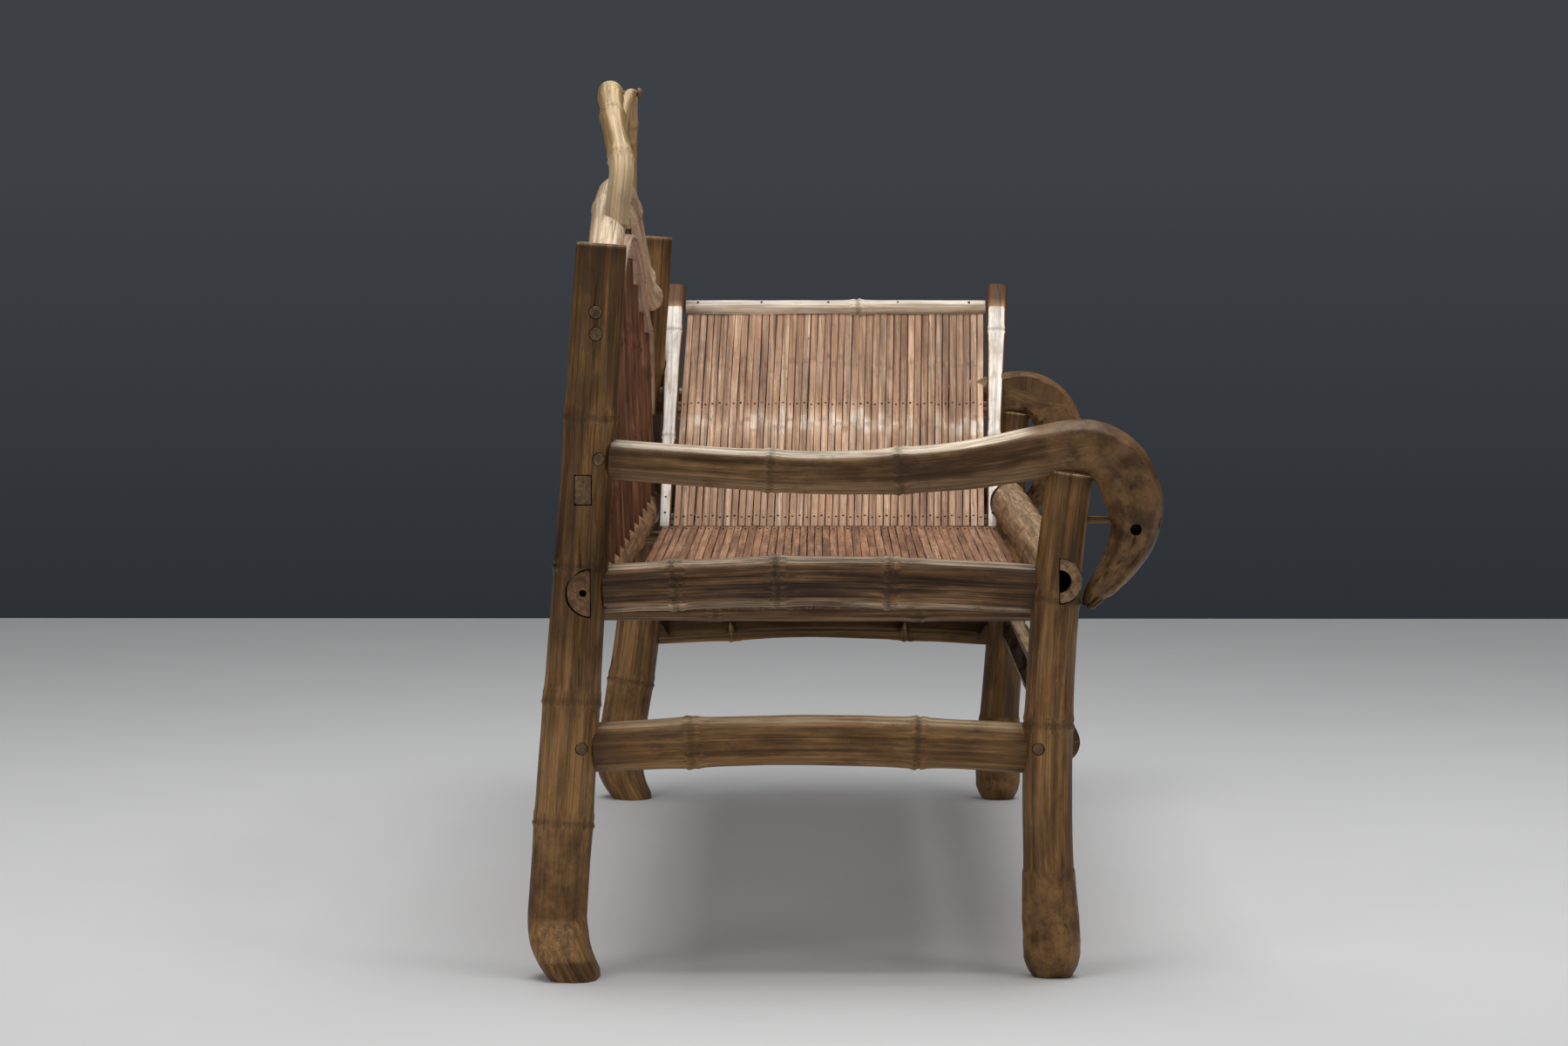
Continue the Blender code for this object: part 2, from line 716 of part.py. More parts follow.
def make_end_frame(end_name, side, front_mortise, rear_mortise, lower_mortise):
    inward = Vector((-side, 0, 0))
    holes = frame_pegs(end_name, side)
    pin_hole = scroll_pin(end_name, side)

    rail_route = end_member(side, END_RAIL_Z, SHORT_TENON, SHORT_TENON, END_RAIL_RADIUS)
    rail_name = f"{end_name}_seat_rail"
    finish(split_culm(rail_name, rail_route, inward, (0.18, 0.42, 0.67)), AGED)
    rail_hole = split_culm(rail_name + "_mortise", grown(rail_route), inward, (), CLEARANCE)

    bar_route = end_member(side, STRETCHER_Z, PEGGED_TENON, PEGGED_TENON, STRETCHER_RADIUS)
    bar_name = f"{end_name}_stretcher"
    bar = finish(split_culm(bar_name, bar_route, inward, (0.24, 0.70)), AGED)
    cut(bar, holes["rear_stretcher_peg"], holes["front_stretcher_peg"])
    bar_hole = split_culm(bar_name + "_mortise", grown(bar_route), inward, (), CLEARANCE)

    arm_route = arm_stations(side)
    arm = finish(tube(f"{end_name}_arm", arm_route), AGED)
    arm_hole = as_cutter(tube(f"{end_name}_arm_mortise", grown(arm_route[:4])))
    front_route = front_post_stations(side)
    post_hole = as_cutter(tube(f"{end_name}_arm_notch", grown(front_route)))
    face = side * (END_X - SCROLL_FACE)
    xs = sorted((face, face - side * 0.1))
    neck = front_y(side, FRONT_HEIGHT)
    sawn = as_cutter(box(f"{end_name}_sawn_face", (xs[0], neck - 0.2, 0.3), (xs[1], neck + 0.03, 0.8)))
    cut(arm, post_hole, sawn, lower_mortise, holes["arm_peg"], pin_hole)

    rear = finish(tube(f"{end_name}_rear_post", rear_post_stations(side)), AGED)
    cut(rear, FLOOR, rail_hole, bar_hole, arm_hole, rear_mortise, lower_mortise)
    cut(rear, holes["arm_peg"], holes["rear_stretcher_peg"], holes["upper_dowel"], holes["lower_dowel"])
    front = finish(tube(f"{end_name}_front_post", front_route), AGED)
    cut(front, FLOOR, rail_hole, bar_hole, front_mortise, holes["front_stretcher_peg"], pin_hole)
    return arm_route, front, holes


def make_front_stretcher(front_posts):
    reach = END_X - front_radius(FRONT_STRETCHER_Z) + SHORT_TENON
    ends = line(
        (-reach, FRONT_STRETCHER_Y, FRONT_STRETCHER_Z),
        (reach, FRONT_STRETCHER_Y, FRONT_STRETCHER_Z),
        FRONT_STRETCHER_RADIUS,
    )
    inward = Vector((0, 1, 0))
    finish(split_culm("front_stretcher", ends, inward, (0.16, 0.33, 0.50, 0.67, 0.84)), AGED)
    hole = split_culm("front_stretcher_mortise", grown(ends), inward, (), CLEARANCE)
    for post in front_posts:
        cut(post, hole)


# Back


def spindle_holes():
    tubes = [
        tube(f"spindle_hole_{i}", grown(spindle_stations(i)), SMALL_SIDES) for i in range(SPINDLE_COUNT)
    ]
    return as_cutter(joined("spindle_holes", tubes))


def lower_rail_y():
    return rear_y(-1, LOWER_RAIL_Z) + 0.002


def lower_tenon(name, side, root, grow=0.0):
    """One of the lower rail's square tenons from its root in the rail, or with grow its mortise."""
    end = END_X + TENON_REACH + (LOWER_TENON_HEIGHT if grow else 0)
    xs = sorted((side * root, side * end))
    y, wide, tall = lower_rail_y(), LOWER_TENON_WIDTH / 2 + grow, LOWER_TENON_HEIGHT / 2 + grow
    low = (xs[0], y - wide, LOWER_RAIL_Z - tall)
    high = (xs[1], y + wide, LOWER_RAIL_Z + tall)
    return as_cutter(box(name, low, high))


def make_back(holes, dowel_holes):
    reach = END_X - rear_radius(LOWER_RAIL_Z) - NODE_RISE - CLEARANCE
    y = lower_rail_y()
    route = line((-reach, y, LOWER_RAIL_Z), (reach, y, LOWER_RAIL_Z), LOWER_RAIL_RADIUS)
    noded = with_nodes(route, (0.2, 0.45, 0.7))
    lower = finish(tube("lower_back_rail", noded), RED)
    for end_name, side in ENDS:
        root = reach - LOWER_TENON_HEIGHT
        boolean(lower, lower_tenon(f"{end_name}_lower_rail_tenon", side, root), "UNION")
    cut(lower, holes)

    top = finish(tube("back_top_rail", top_rail_stations()), AGED)
    for end_name, side in ENDS:
        cut(top, as_cutter(tube(f"{end_name}_top_rail_cope", grown(rear_post_stations(side)))))
    cut(top, holes, *dowel_holes)

    arch = finish(slab("back_inner_arch", arch_outline(), ARCH_WIDTH, top_rail_y(0) - BACK_BOW / 2), PALE)
    cope = as_cutter(tube("arch_cope", grown(noded)))
    cut(arch, holes, cope)
    for i in range(SPINDLE_COUNT):
        finish(tube(f"back_spindle_{i + 1:02d}", spindle_stations(i), SMALL_SIDES), RED)
    return top


def make_crest(top):
    main_route, slim_route = crest_stations(), slim_stations()
    main = finish(tube("crest_loop", main_route), HONEY)
    slim = finish(tube("crest_slim_loop", slim_route, SMALL_SIDES), AGED)
    cut(top, as_cutter(tube("crest_sockets", grown(main_route))))
    cut(top, as_cutter(tube("crest_slim_sockets", grown(slim_route), SMALL_SIDES)))
    apex_main = main_route[len(main_route) // 2]
    apex_slim = slim_route[len(slim_route) // 2]
    inside_knob = apex_slim.y - 1.5 * SLIM_RADIUS
    shaft = line((0, apex_main.y, CREST_APEX), (0, inside_knob, CREST_APEX), CREST_PEG_RADIUS)
    knob = line(
        (0, apex_slim.y - SLIM_RADIUS - CLEARANCE, CREST_APEX),
        (0, apex_slim.y - 2 * SLIM_RADIUS, CREST_APEX),
        CREST_KNOB_RADIUS,
    )
    peg_shape = finish(tube("crest_peg", shaft, SMALL_SIDES), AGED)
    boolean(peg_shape, as_cutter(tube("crest_knob", knob, SMALL_SIDES)), "UNION")
    hole = as_cutter(tube("crest_peg_hole", grown(shaft), SMALL_SIDES))
    cut(main, hole)
    cut(slim, hole, as_cutter(tube("crest_slim_cope", grown(main_route))))


# Seat


def make_bearer(index, rail_copes):
    first = -END_X + SLAT_END_GAP + 2 * BEARER_RADIUS
    last = HEADREST_FOOT_X - 3.5 * BEARER_RADIUS
    x = first + (last - first) * index / (BEARER_COUNT - 1)
    z = SEAT_TOP - SLAT_THICKNESS + BITE
    route = line(
        (x, FRONT_RAIL_Y - BEARER_OVERHANG, z), (x, REAR_RAIL_Y + BEARER_OVERHANG, z), BEARER_RADIUS
    )
    bearer = tube(f"seat_bearer_{index + 1}", route)
    half = SEAT_FIELD / 2 + SLAT_PITCH - SLAT_WIDTH
    bed = box(
        f"seat_bearer_bed_{index + 1}",
        (x - 0.1, SLAT_MIDDLE_Y - half, z),
        (x + 0.1, SLAT_MIDDLE_Y + half, z + 0.1),
    )
    return as_cutter(cut(bearer, as_cutter(bed), *rail_copes))


def make_seat():
    slats = []
    for i in range(SLAT_COUNT):
        y = SLAT_MIDDLE_Y + (i - (SLAT_COUNT - 1) / 2) * SLAT_PITCH
        slats.append(
            box(
                f"seat_slat_{i}",
                (-END_X + SLAT_END_GAP, y - SLAT_WIDTH / 2, SEAT_TOP - SLAT_THICKNESS),
                (HEADREST_FOOT_X - CLEARANCE, y + SLAT_WIDTH / 2, SEAT_TOP),
            )
        )
    bed = finish(joined("seat_slat_bed", slats), PALE)
    copes = []
    for label, y, z, radius in (
        ("front", FRONT_RAIL_Y, FRONT_RAIL_Z, FRONT_RAIL_RADIUS),
        ("rear", REAR_RAIL_Y, REAR_RAIL_Z, REAR_RAIL_RADIUS),
    ):
        reach = radius + NODE_RISE + CLEARANCE
        copes.append(as_cutter(tube(f"{label}_rail_cope", line((-END_X, y, z), (END_X, y, z), reach))))
    for i in range(BEARER_COUNT):
        boolean(bed, make_bearer(i, copes), "UNION")
    return copes


# Headrest


def make_headrest(arm_route, rail_copes):
    slats = []
    length, depth = HEADREST_SLAT_LENGTH, -SLAT_THICKNESS
    corners = [on_headrest(s, 0, h) for s, h in ((0, 0), (length, 0), (length, depth), (0, depth))]
    outline = [(corner.x, corner.z) for corner in corners]
    for i in range(HEADREST_SLATS):
        y = HEADREST_MIDDLE_Y + (i - (HEADREST_SLATS - 1) / 2) * SLAT_PITCH
        slats.append(slab(f"headrest_slat_{i}", outline, SLAT_WIDTH, y))
    bpy.context.view_layer.update()
    foot = on_headrest(0, 0, 0)
    for slat in slats:
        slat.data.transform(slat.matrix_world)
        for vertex in slat.data.vertices:
            vertex.co.y -= HEADREST_DRIFT * (vertex.co - foot).dot(SLOPE) / STILE_LENGTH
    panel = finish(joined("headrest_slat_panel", slats), PALE)
    reach = HEADREST_FIELD / 2 + STILE_GAP + CROSS_TENON
    sockets = []
    for i, s in enumerate(CROSS_SPOTS):
        depth = -SLAT_THICKNESS + BITE
        cross = half_round(f"headrest_cross_{i}", s, depth, CROSS_RADIUS, -1, reach)
        boolean(panel, as_cutter(cross), "UNION")
        sockets.append(
            as_cutter(half_round(f"headrest_socket_{i}", s, depth, CROSS_RADIUS, -1, reach, CLEARANCE))
        )
    over_arm = as_cutter(tube("headrest_arm_notch", grown(arm_route)))
    cut(panel, over_arm)
    seat_plane = as_cutter(
        box("headrest_foot_cut", (0, -1, SEAT_TOP - 0.1), (1.5, 1, SEAT_TOP + CLEARANCE))
    )
    beside_post = as_cutter(tube("headrest_post_cope", grown(rear_post_stations(1))))
    for label, side in (("front", -1), ("rear", 1)):
        stile = finish(tube(f"headrest_{label}_stile", stile_stations(side)), PALE)
        cut(stile, seat_plane, over_arm, beside_post, *rail_copes, *sockets)
    cap_reach = HEADREST_FIELD / 2 + STILE_GAP - CLEARANCE
    cap_s = HEADREST_SLAT_LENGTH - CAP_RADIUS
    finish(half_round("headrest_cap", cap_s, CLEARANCE, CAP_RADIUS, 1, cap_reach), PALE)


def stand_on_origin():
    """Moves the root so that the part stands on the origin, at the middle of its box."""
    bpy.context.view_layer.update()
    graph = bpy.context.evaluated_depsgraph_get()
    corners = []
    for obj in PARTS.objects:
        if obj.type == "MESH":
            shape = obj.evaluated_get(graph)
            corners += [shape.matrix_world @ vertex.co for vertex in shape.data.vertices]
    low = [min(c[i] for c in corners) for i in range(3)]
    high = [max(c[i] for c in corners) for i in range(3)]
    ROOT.location = (-(low[0] + high[0]) / 2, -(low[1] + high[1]) / 2, -low[2])


def main():
    make_long_rails()
    front_mortise = rail_mortise("front_rail_mortise", FRONT_RAIL_Y, FRONT_RAIL_Z, FRONT_RAIL_RADIUS, -1)
    rear_mortise = rail_mortise("rear_rail_mortise", REAR_RAIL_Y, REAR_RAIL_Z, REAR_RAIL_RADIUS, 1)
    fronts, dowels = [], []
    for end_name, side in ENDS:
        inside = END_X - REAR_FOOT_RADIUS - LOWER_TENON_HEIGHT
        lower_mortise = lower_tenon(f"{end_name}_lower_rail_mortise", side, inside, CLEARANCE)
        arm_route, front, holes = make_end_frame(end_name, side, front_mortise, rear_mortise, lower_mortise)
        fronts.append(front)
        dowels += [holes["upper_dowel"], holes["lower_dowel"]]
    make_front_stretcher(fronts)
    holes = spindle_holes()
    cut(bpy.data.objects["rear_seat_rail"], holes)
    make_crest(make_back(holes, dowels))
    make_headrest(arm_route, make_seat())
    stand_on_origin()


main()
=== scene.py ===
"""Looks of the bamboo sofa bed: worn culms with nodes, split slats, pegs, nails and aged bamboo materials."""

import math

import bpy
import numpy as np
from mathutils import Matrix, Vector
from mathutils.kdtree import KDTree


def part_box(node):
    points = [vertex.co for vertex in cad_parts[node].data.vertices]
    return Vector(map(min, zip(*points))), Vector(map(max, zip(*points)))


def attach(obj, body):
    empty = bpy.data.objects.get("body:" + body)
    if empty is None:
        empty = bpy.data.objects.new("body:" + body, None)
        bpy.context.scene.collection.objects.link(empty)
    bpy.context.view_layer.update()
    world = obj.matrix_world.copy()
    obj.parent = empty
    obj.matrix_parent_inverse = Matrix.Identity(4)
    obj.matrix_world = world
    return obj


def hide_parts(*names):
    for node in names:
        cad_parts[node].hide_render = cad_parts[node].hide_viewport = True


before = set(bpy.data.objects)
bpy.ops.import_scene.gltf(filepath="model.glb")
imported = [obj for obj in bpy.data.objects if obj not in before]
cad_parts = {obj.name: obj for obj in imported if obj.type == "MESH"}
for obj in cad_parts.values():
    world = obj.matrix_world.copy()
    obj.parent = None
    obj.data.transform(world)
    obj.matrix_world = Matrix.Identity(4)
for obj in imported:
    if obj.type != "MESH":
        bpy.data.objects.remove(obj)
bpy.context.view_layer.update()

# The part's own sizes, in its drawing frame
END_X = 0.90
REAR_HEIGHT, REAR_FLOOR_Y, REAR_LEAN = 0.845, 0.3385, 0.0691
REAR_TOP_RADIUS, REAR_FOOT_RADIUS = 0.0285, 0.0350
TOE_HEIGHT, TOE_REACH = 0.075, 0.0275
FRONT_HEIGHT, FRONT_WAIST_Y, FRONT_WAIST_Z = 0.583, -0.232, 0.22
FRONT_TOP_FLARE, FRONT_FOOT_FLARE = 0.026, 0.008
FRONT_TOP_RADIUS, FRONT_WAIST_RADIUS = 0.0258, 0.0285
FRONT_BULB_RADIUS, FRONT_BULB_Z = 0.0322, 0.055
HEAD_LEG_BOW, LEG_BOW_HEIGHT = 0.018, 0.60
ARM_Z, ARM_DIP, ARM_RADIUS, SCROLL_RADIUS, SCROLL_FACE = 0.5985, 0.0155, 0.0245, 0.0355, 0.024
END_RAIL_Z, END_RAIL_RADIUS = 0.4505, 0.0255
STRETCHER_Z, STRETCHER_RADIUS, END_ARCH, SPLIT_INSET = 0.2655, 0.0272, 0.009, 0.010
FRONT_RAIL_Y, FRONT_RAIL_Z, FRONT_RAIL_RADIUS = -0.2450, 0.4585, 0.0255
REAR_RAIL_Y, REAR_RAIL_Z, REAR_RAIL_RADIUS = 0.2940, 0.4445, 0.0270
TENON_REACH, HOLLOW_RADIUS, HOLLOW_DEPTH = 0.0245, 0.0130, 0.070
FRONT_STRETCHER_RADIUS, FRONT_STRETCHER_Y, FRONT_STRETCHER_Z = 0.0262, -0.2445, 0.2690
LOWER_RAIL_Z, LOWER_RAIL_RADIUS, LOWER_RAIL_SHIFT = 0.563, 0.0205, 0.002
LOWER_TENON_WIDTH, LOWER_TENON_HEIGHT = 0.0185, 0.0330
TOP_RAIL_Z, TOP_RAIL_RISE, TOP_RAIL_RADIUS, BACK_BOW = 0.754, 0.151, 0.0225, 0.012
SPINDLE_COUNT, SPINDLE_PITCH, SPINDLE_RADIUS = 10, 0.163, 0.0085
SPINDLE_FOOT_Y, SPINDLE_TENON = 0.281, 0.011
ARCH_DROP, ARCH_CORNER, ARCH_SIDE_GAP = 0.058, 0.110, 0.095
ARCH_THICKNESS, ARCH_WIDTH = 0.009, 0.035
CREST_SPAN, CREST_APEX, CREST_RADIUS, CREST_TIP_RADIUS = 0.70, 1.037, 0.0150, 0.0075
CREST_TWIST, CREST_LEAN = 0.024, 0.010
SLIM_SPAN, SLIM_RADIUS, SLIM_GAP = 0.44, 0.0068, 0.006
CREST_PEG_RADIUS, CREST_KNOB_RADIUS = 0.0035, 0.0070
SEAT_TOP, SLAT_COUNT, SLAT_PITCH, SLAT_WIDTH, SLAT_THICKNESS = 0.428, 46, 0.0105, 0.0090, 0.0050
SLAT_MIDDLE_Y, SLAT_END_GAP = 0.0165, 0.034
BEARER_COUNT, BEARER_RADIUS, BEARER_OVERHANG, BITE = 3, 0.0180, 0.012, 0.0006
HEADREST_FOOT_X, HEADREST_SLOPE = 0.615, math.radians(37)
HEADREST_SLATS, HEADREST_SLAT_LENGTH = 43, 0.522
HEADREST_MIDDLE_Y, HEADREST_DRIFT = 0.0180, 0.0126
STILE_FOOT_RADIUS, STILE_TOP_RADIUS = 0.0090, 0.0175
STILE_LENGTH, STILE_SINK, STILE_GAP = 0.560, 0.003, 0.0030
CROSS_RADIUS, CROSS_SPOTS, CROSS_TENON, CAP_RADIUS = 0.0110, (0.022, 0.281), 0.006, 0.0130
PEG_RADIUS, DOWEL_RADIUS, DOWEL_SPACING, PEG_INSET = 0.0066, 0.0073, 0.025, 0.0165
PIN_RADIUS, PIN_Z = 0.0042, 0.528
ENDS = (("foot", -1), ("head", 1))
STILES = (("front", -1), ("rear", 1))
RAILS = (
    (FRONT_RAIL_Y, FRONT_RAIL_Z, FRONT_RAIL_RADIUS),
    (REAR_RAIL_Y, REAR_RAIL_Z, REAR_RAIL_RADIUS),
)

# Shapes that only the looks have
HOOF_HEIGHT, HEEL_CUT, TOE_CUT = 0.045, 0.013, 0.007
INSTEP_REACH, INSTEP_TOP, INSTEP_HEIGHT = 0.032, 0.068, 0.042
INSTEP_RUB, TOE_STAIN = 0.18, 0.14
ROOT_TOP, ROOT_LUMP, SHEATH_TOP, SHEATH_EDGE = 0.105, 0.0032, 0.132, 0.0012
SOLE_HEIGHT, SOLE_CUT = 0.030, 0.013
PIT_DEPTH = 0.0042
SCROLL_HOLE_Y, SCROLL_HOLE_Z, SCROLL_HOLE_RADIUS = 0.0735, 0.518, 0.0068
TENON_PROUD, LOWER_TENON_PROUD, PITH_SHIFT, PITH_RADIUS = 0.0006, 0.001, 0.008, 0.0042
RAIL_LIP, STRETCHER_LIP, RAIL_BAND = 0.0080, 0.0060, 0.05
CREST_BEND, CREST_BEND_Z, CREST_BEND_SPREAD = 0.0055, 0.075, 0.035
PEG_GAP, MORTISE_GAP, REAR_MORTISE_GAP = 0.0007, 0.0012, 0.0013
SEATING = 0.004  # how far rails and stretchers run into the posts, apart from their tenons
DEEP_SEATING = 0.006  # the same for the arms and the back's rails
BED_MARGIN, BEARER_GAP, STILE_COPE_GAP = 0.014, 0.0015, 0.0030
SLAT_CROWN, SLAT_LIFT, SLAT_DRIFT, SLAT_HEAVE, KNOT_RISE = 0.0011, 0.0011, 0.0009, 0.0010, 0.0011
LUMP_STRETCH, FINE_LUMP = 0.35, 0.22
DIAPHRAGM = 0.93  # how much of a split culm's hollow is filled at a node or an end
SPLIT_ARC = 26  # points round a split culm's skin
PAST_ENDS = 1.1  # half length of a cutter that runs through both end frames


def middle_of(node):
    low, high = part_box(node)
    return (low + high) / 2


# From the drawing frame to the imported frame
SHIFT = np.array(
    [
        (middle_of("foot_front_post").x + middle_of("head_front_post").x) / 2,
        middle_of("front_seat_rail").y - FRONT_RAIL_Y,
        0.0,
    ]
)


# Curves and noise


def ramp(value, start, width):
    """0 up to start and 1 from a width further on. A negative width runs the other way."""
    return np.clip((value - start) / width, 0, 1)


def bell(value, middle, width):
    return np.exp(-(((value - middle) / width) ** 2))


def full_turn(sides):
    return np.arange(sides) / sides * 2 * math.pi


def lattice(ix, iy, iz):
    value = ix * 374761393 + iy * 668265263 + iz * 1274126177
    value = (value ^ (value >> 13)) * 1103515245
    value = value ^ (value >> 16)
    return (value & 0xFFFF) / 65535.0


def value_noise(points):
    """Smooth noise from 0 to 1 at each row of points."""
    cell = np.floor(points).astype(np.int64)
    part = points - cell
    part = part * part * (3 - 2 * part)
    total = np.zeros(len(points))
    for dx in (0, 1):
        for dy in (0, 1):
            for dz in (0, 1):
                weight = np.where(dx, part[:, 0], 1 - part[:, 0])
                weight = weight * np.where(dy, part[:, 1], 1 - part[:, 1])
                weight = weight * np.where(dz, part[:, 2], 1 - part[:, 2])
                total += weight * lattice(cell[:, 0] + dx, cell[:, 1] + dy, cell[:, 2] + dz)
    return total


def rough(points, octaves=3):
    """Layered noise from about -1 to 1."""
    total = np.zeros(len(points))
    size = 1.0
    for i in range(octaves):
        total += size * (2 * value_noise(points * 2 ** i + 17.3 * i) - 1)
        size *= 0.5
    return total / 1.6


def strand(along, offset):
    """Noise points on a line, apart from the lines of other offsets."""
    return np.stack([along, along * 0 + offset, along * 0], 1)


def over_skin(noise, along, angles, across, lengthwise, shift):
    """Noise round and along a culm, as an array (stations, sides)."""
    columns = np.cos(angles) * across, np.sin(angles) * across, along * lengthwise
    points = np.stack(np.broadcast_arrays(*columns), 2)
    return noise(points.reshape(-1, 3) + shift).reshape(points.shape[:2])


# Routes


def leg_bow(side, z):
    if side < 0 or not 0 < z < LEG_BOW_HEIGHT:
        return 0.0
    return -HEAD_LEG_BOW * math.sin(math.pi * z / LEG_BOW_HEIGHT) ** 2


def rear_y(side, z):
    toe = min(1.0, max(0.0, (TOE_HEIGHT - z) / TOE_HEIGHT))
    return REAR_FLOOR_Y - REAR_LEAN * z - TOE_REACH * toe ** 2 + leg_bow(side, z)


def rear_radius(z):
    return REAR_FOOT_RADIUS + (REAR_TOP_RADIUS - REAR_FOOT_RADIUS) * z / REAR_HEIGHT


def front_y(side, z):
    above = z > FRONT_WAIST_Z
    flare = FRONT_TOP_FLARE if above else FRONT_FOOT_FLARE
    reach = FRONT_HEIGHT - FRONT_WAIST_Z if above else FRONT_WAIST_Z
    return FRONT_WAIST_Y - flare * ((z - FRONT_WAIST_Z) / reach) ** 2 + leg_bow(side, z)


def front_radius(z):
    if z > FRONT_WAIST_Z:
        share = (z - FRONT_WAIST_Z) / (FRONT_HEIGHT - FRONT_WAIST_Z)
        return FRONT_WAIST_RADIUS + (FRONT_TOP_RADIUS - FRONT_WAIST_RADIUS) * share
    bulb = math.exp(-(((z - FRONT_BULB_Z) / FRONT_BULB_Z) ** 2))
    return FRONT_WAIST_RADIUS + (FRONT_BULB_RADIUS - FRONT_WAIST_RADIUS) * bulb


def top_rail_z(x):
    return TOP_RAIL_Z + TOP_RAIL_RISE * 0.5 * (1 + math.cos(math.pi * x / END_X))


def top_rail_y(x):
    return rear_y(-1, TOP_RAIL_Z) + BACK_BOW * (1 - (x / END_X) ** 2)


LOWER_RAIL_Y = rear_y(-1, LOWER_RAIL_Z) + LOWER_RAIL_SHIFT


def smooth(points, spacing):
    """Evenly spaced stations on a Catmull-Rom curve through (x, y, z, radius) points."""
    p = np.array(points, float)
    p = np.vstack([2 * p[0] - p[1], p, 2 * p[-1] - p[-2]])
    t = np.linspace(0, 1, 24, endpoint=False)[:, None]
    found = []
    for a, b, c, d in zip(p, p[1:], p[2:], p[3:]):
        square, cube = 2 * a - 5 * b + 4 * c - d, 3 * b - 3 * c + d - a
        found.append(0.5 * (2 * b + t * (c - a) + t * t * square + t ** 3 * cube))
    fine = np.vstack([*found, p[-2]])
    length = np.concatenate([[0], np.cumsum(np.linalg.norm(np.diff(fine[:, :3], axis=0), axis=1))])
    count = max(2, int(round(length[-1] / spacing)))
    spots = np.linspace(0, length[-1], count + 1)
    return np.stack([np.interp(spots, length, fine[:, i]) for i in range(4)], axis=1)


def straight(start, stop, radius, spacing=0.004):
    return smooth([(*start, radius), (*stop, radius)], spacing)


def lengthwise_bar(reach, y, z, radius):
    return straight((-reach, y, z), (reach, y, z), radius)


# Culms


class Culm:
    """A centre line with its radius, its frame and the places of its nodes."""

    def __init__(self, stations, side, nodes=(), rise=0.0024, seed=0.0):
        self.path = stations[:, :3] + SHIFT
        self.radius = stations[:, 3]
        self.along = np.concatenate([[0], np.cumsum(np.linalg.norm(np.diff(self.path, axis=0), axis=1))])
        self.length = self.along[-1]
        tangent = np.gradient(self.path, axis=0)
        self.tangent = tangent / np.linalg.norm(tangent, axis=1)[:, None]
        across = np.array(side, float) - self.tangent * (self.tangent @ np.array(side, float))[:, None]
        self.across = across / np.linalg.norm(across, axis=1)[:, None]
        self.up = np.cross(self.tangent, self.across)
        self.nodes = [spot * self.length for spot in nodes]
        self.rise = rise
        self.seed = seed

    def node_rise(self, along):
        """A node's sharp ridge, the lower one beside it, its broad swelling and the groove between."""
        total = np.zeros_like(along)
        for spot in self.nodes:
            d = along - spot
            total += bell(d, 0, 0.0032) + 0.55 * bell(d, 0.009, 0.0045)
            total += 0.45 * bell(d, 0, 0.022) - 0.4 * bell(d, 0.0045, 0.002)
        return self.rise * total

    def rings(self, angles, size, drift=0.0):
        """Points at a size from the centre line, as an array (stations, sides, 3)."""
        spokes = np.cos(angles)[None, :, None] * self.across[:, None, :]
        spokes = spokes + np.sin(angles)[None, :, None] * self.up[:, None, :]
        return (self.path + drift)[:, None, :] + size[:, :, None] * spokes


def flat_section(angles, flats):
    """Radius share round a section that has been shaved flat in places, as (angle, depth share)."""
    share = np.ones_like(angles)
    for angle, depth in flats:
        lean = np.cos(angles - math.radians(angle))
        plane = np.where(lean > 0.2, depth / np.maximum(lean, 0.2), 9.0)
        share = -np.log(np.exp(-24 * share) + np.exp(-24 * plane)) / 24
    return share


def skin(culm, sides=48, flats=(), lump=0.0012, lump_scale=14.0, grow=None, wave=0.0):
    """Rings of a culm's surface, as an array (stations, sides, 3)."""
    angles = full_turn(sides)
    ring = culm.radius[:, None] * flat_section(angles, flats)[None] + culm.node_rise(culm.along)[:, None]
    columns = (
        np.cos(angles)[None] * culm.radius[:, None] * lump_scale,
        np.sin(angles)[None] * culm.radius[:, None] * lump_scale,
        culm.along[:, None] * lump_scale * LUMP_STRETCH,
    )
    local = np.stack(np.broadcast_arrays(*columns), 2).reshape(-1, 3)
    ring = ring + lump * rough(local + 31.7 * culm.seed, 3).reshape(ring.shape)
    fine = local * np.array([9.0, 9.0, 1.2])
    ring = ring + FINE_LUMP * lump * rough(fine + 11.1 * culm.seed, 2).reshape(ring.shape)
    if grow is not None:
        ring = ring + grow(culm.along[:, None], angles[None, :])
    drift = 0.0
    if wave:
        drift = (wave * rough(strand(culm.along * 5, culm.seed * 7), 2))[:, None] * culm.across
    return culm.rings(angles, ring, drift)


def quads(rows, sides):
    """Faces between rings of vertices that are stored one after another."""
    i, j = np.meshgrid(np.arange(rows - 1), np.arange(sides), indexing="ij")
    k = (j + 1) % sides
    corners = [i * sides + j, i * sides + k, (i + 1) * sides + k, (i + 1) * sides + j]
    return np.stack(corners, 2).reshape(-1, 4).tolist()


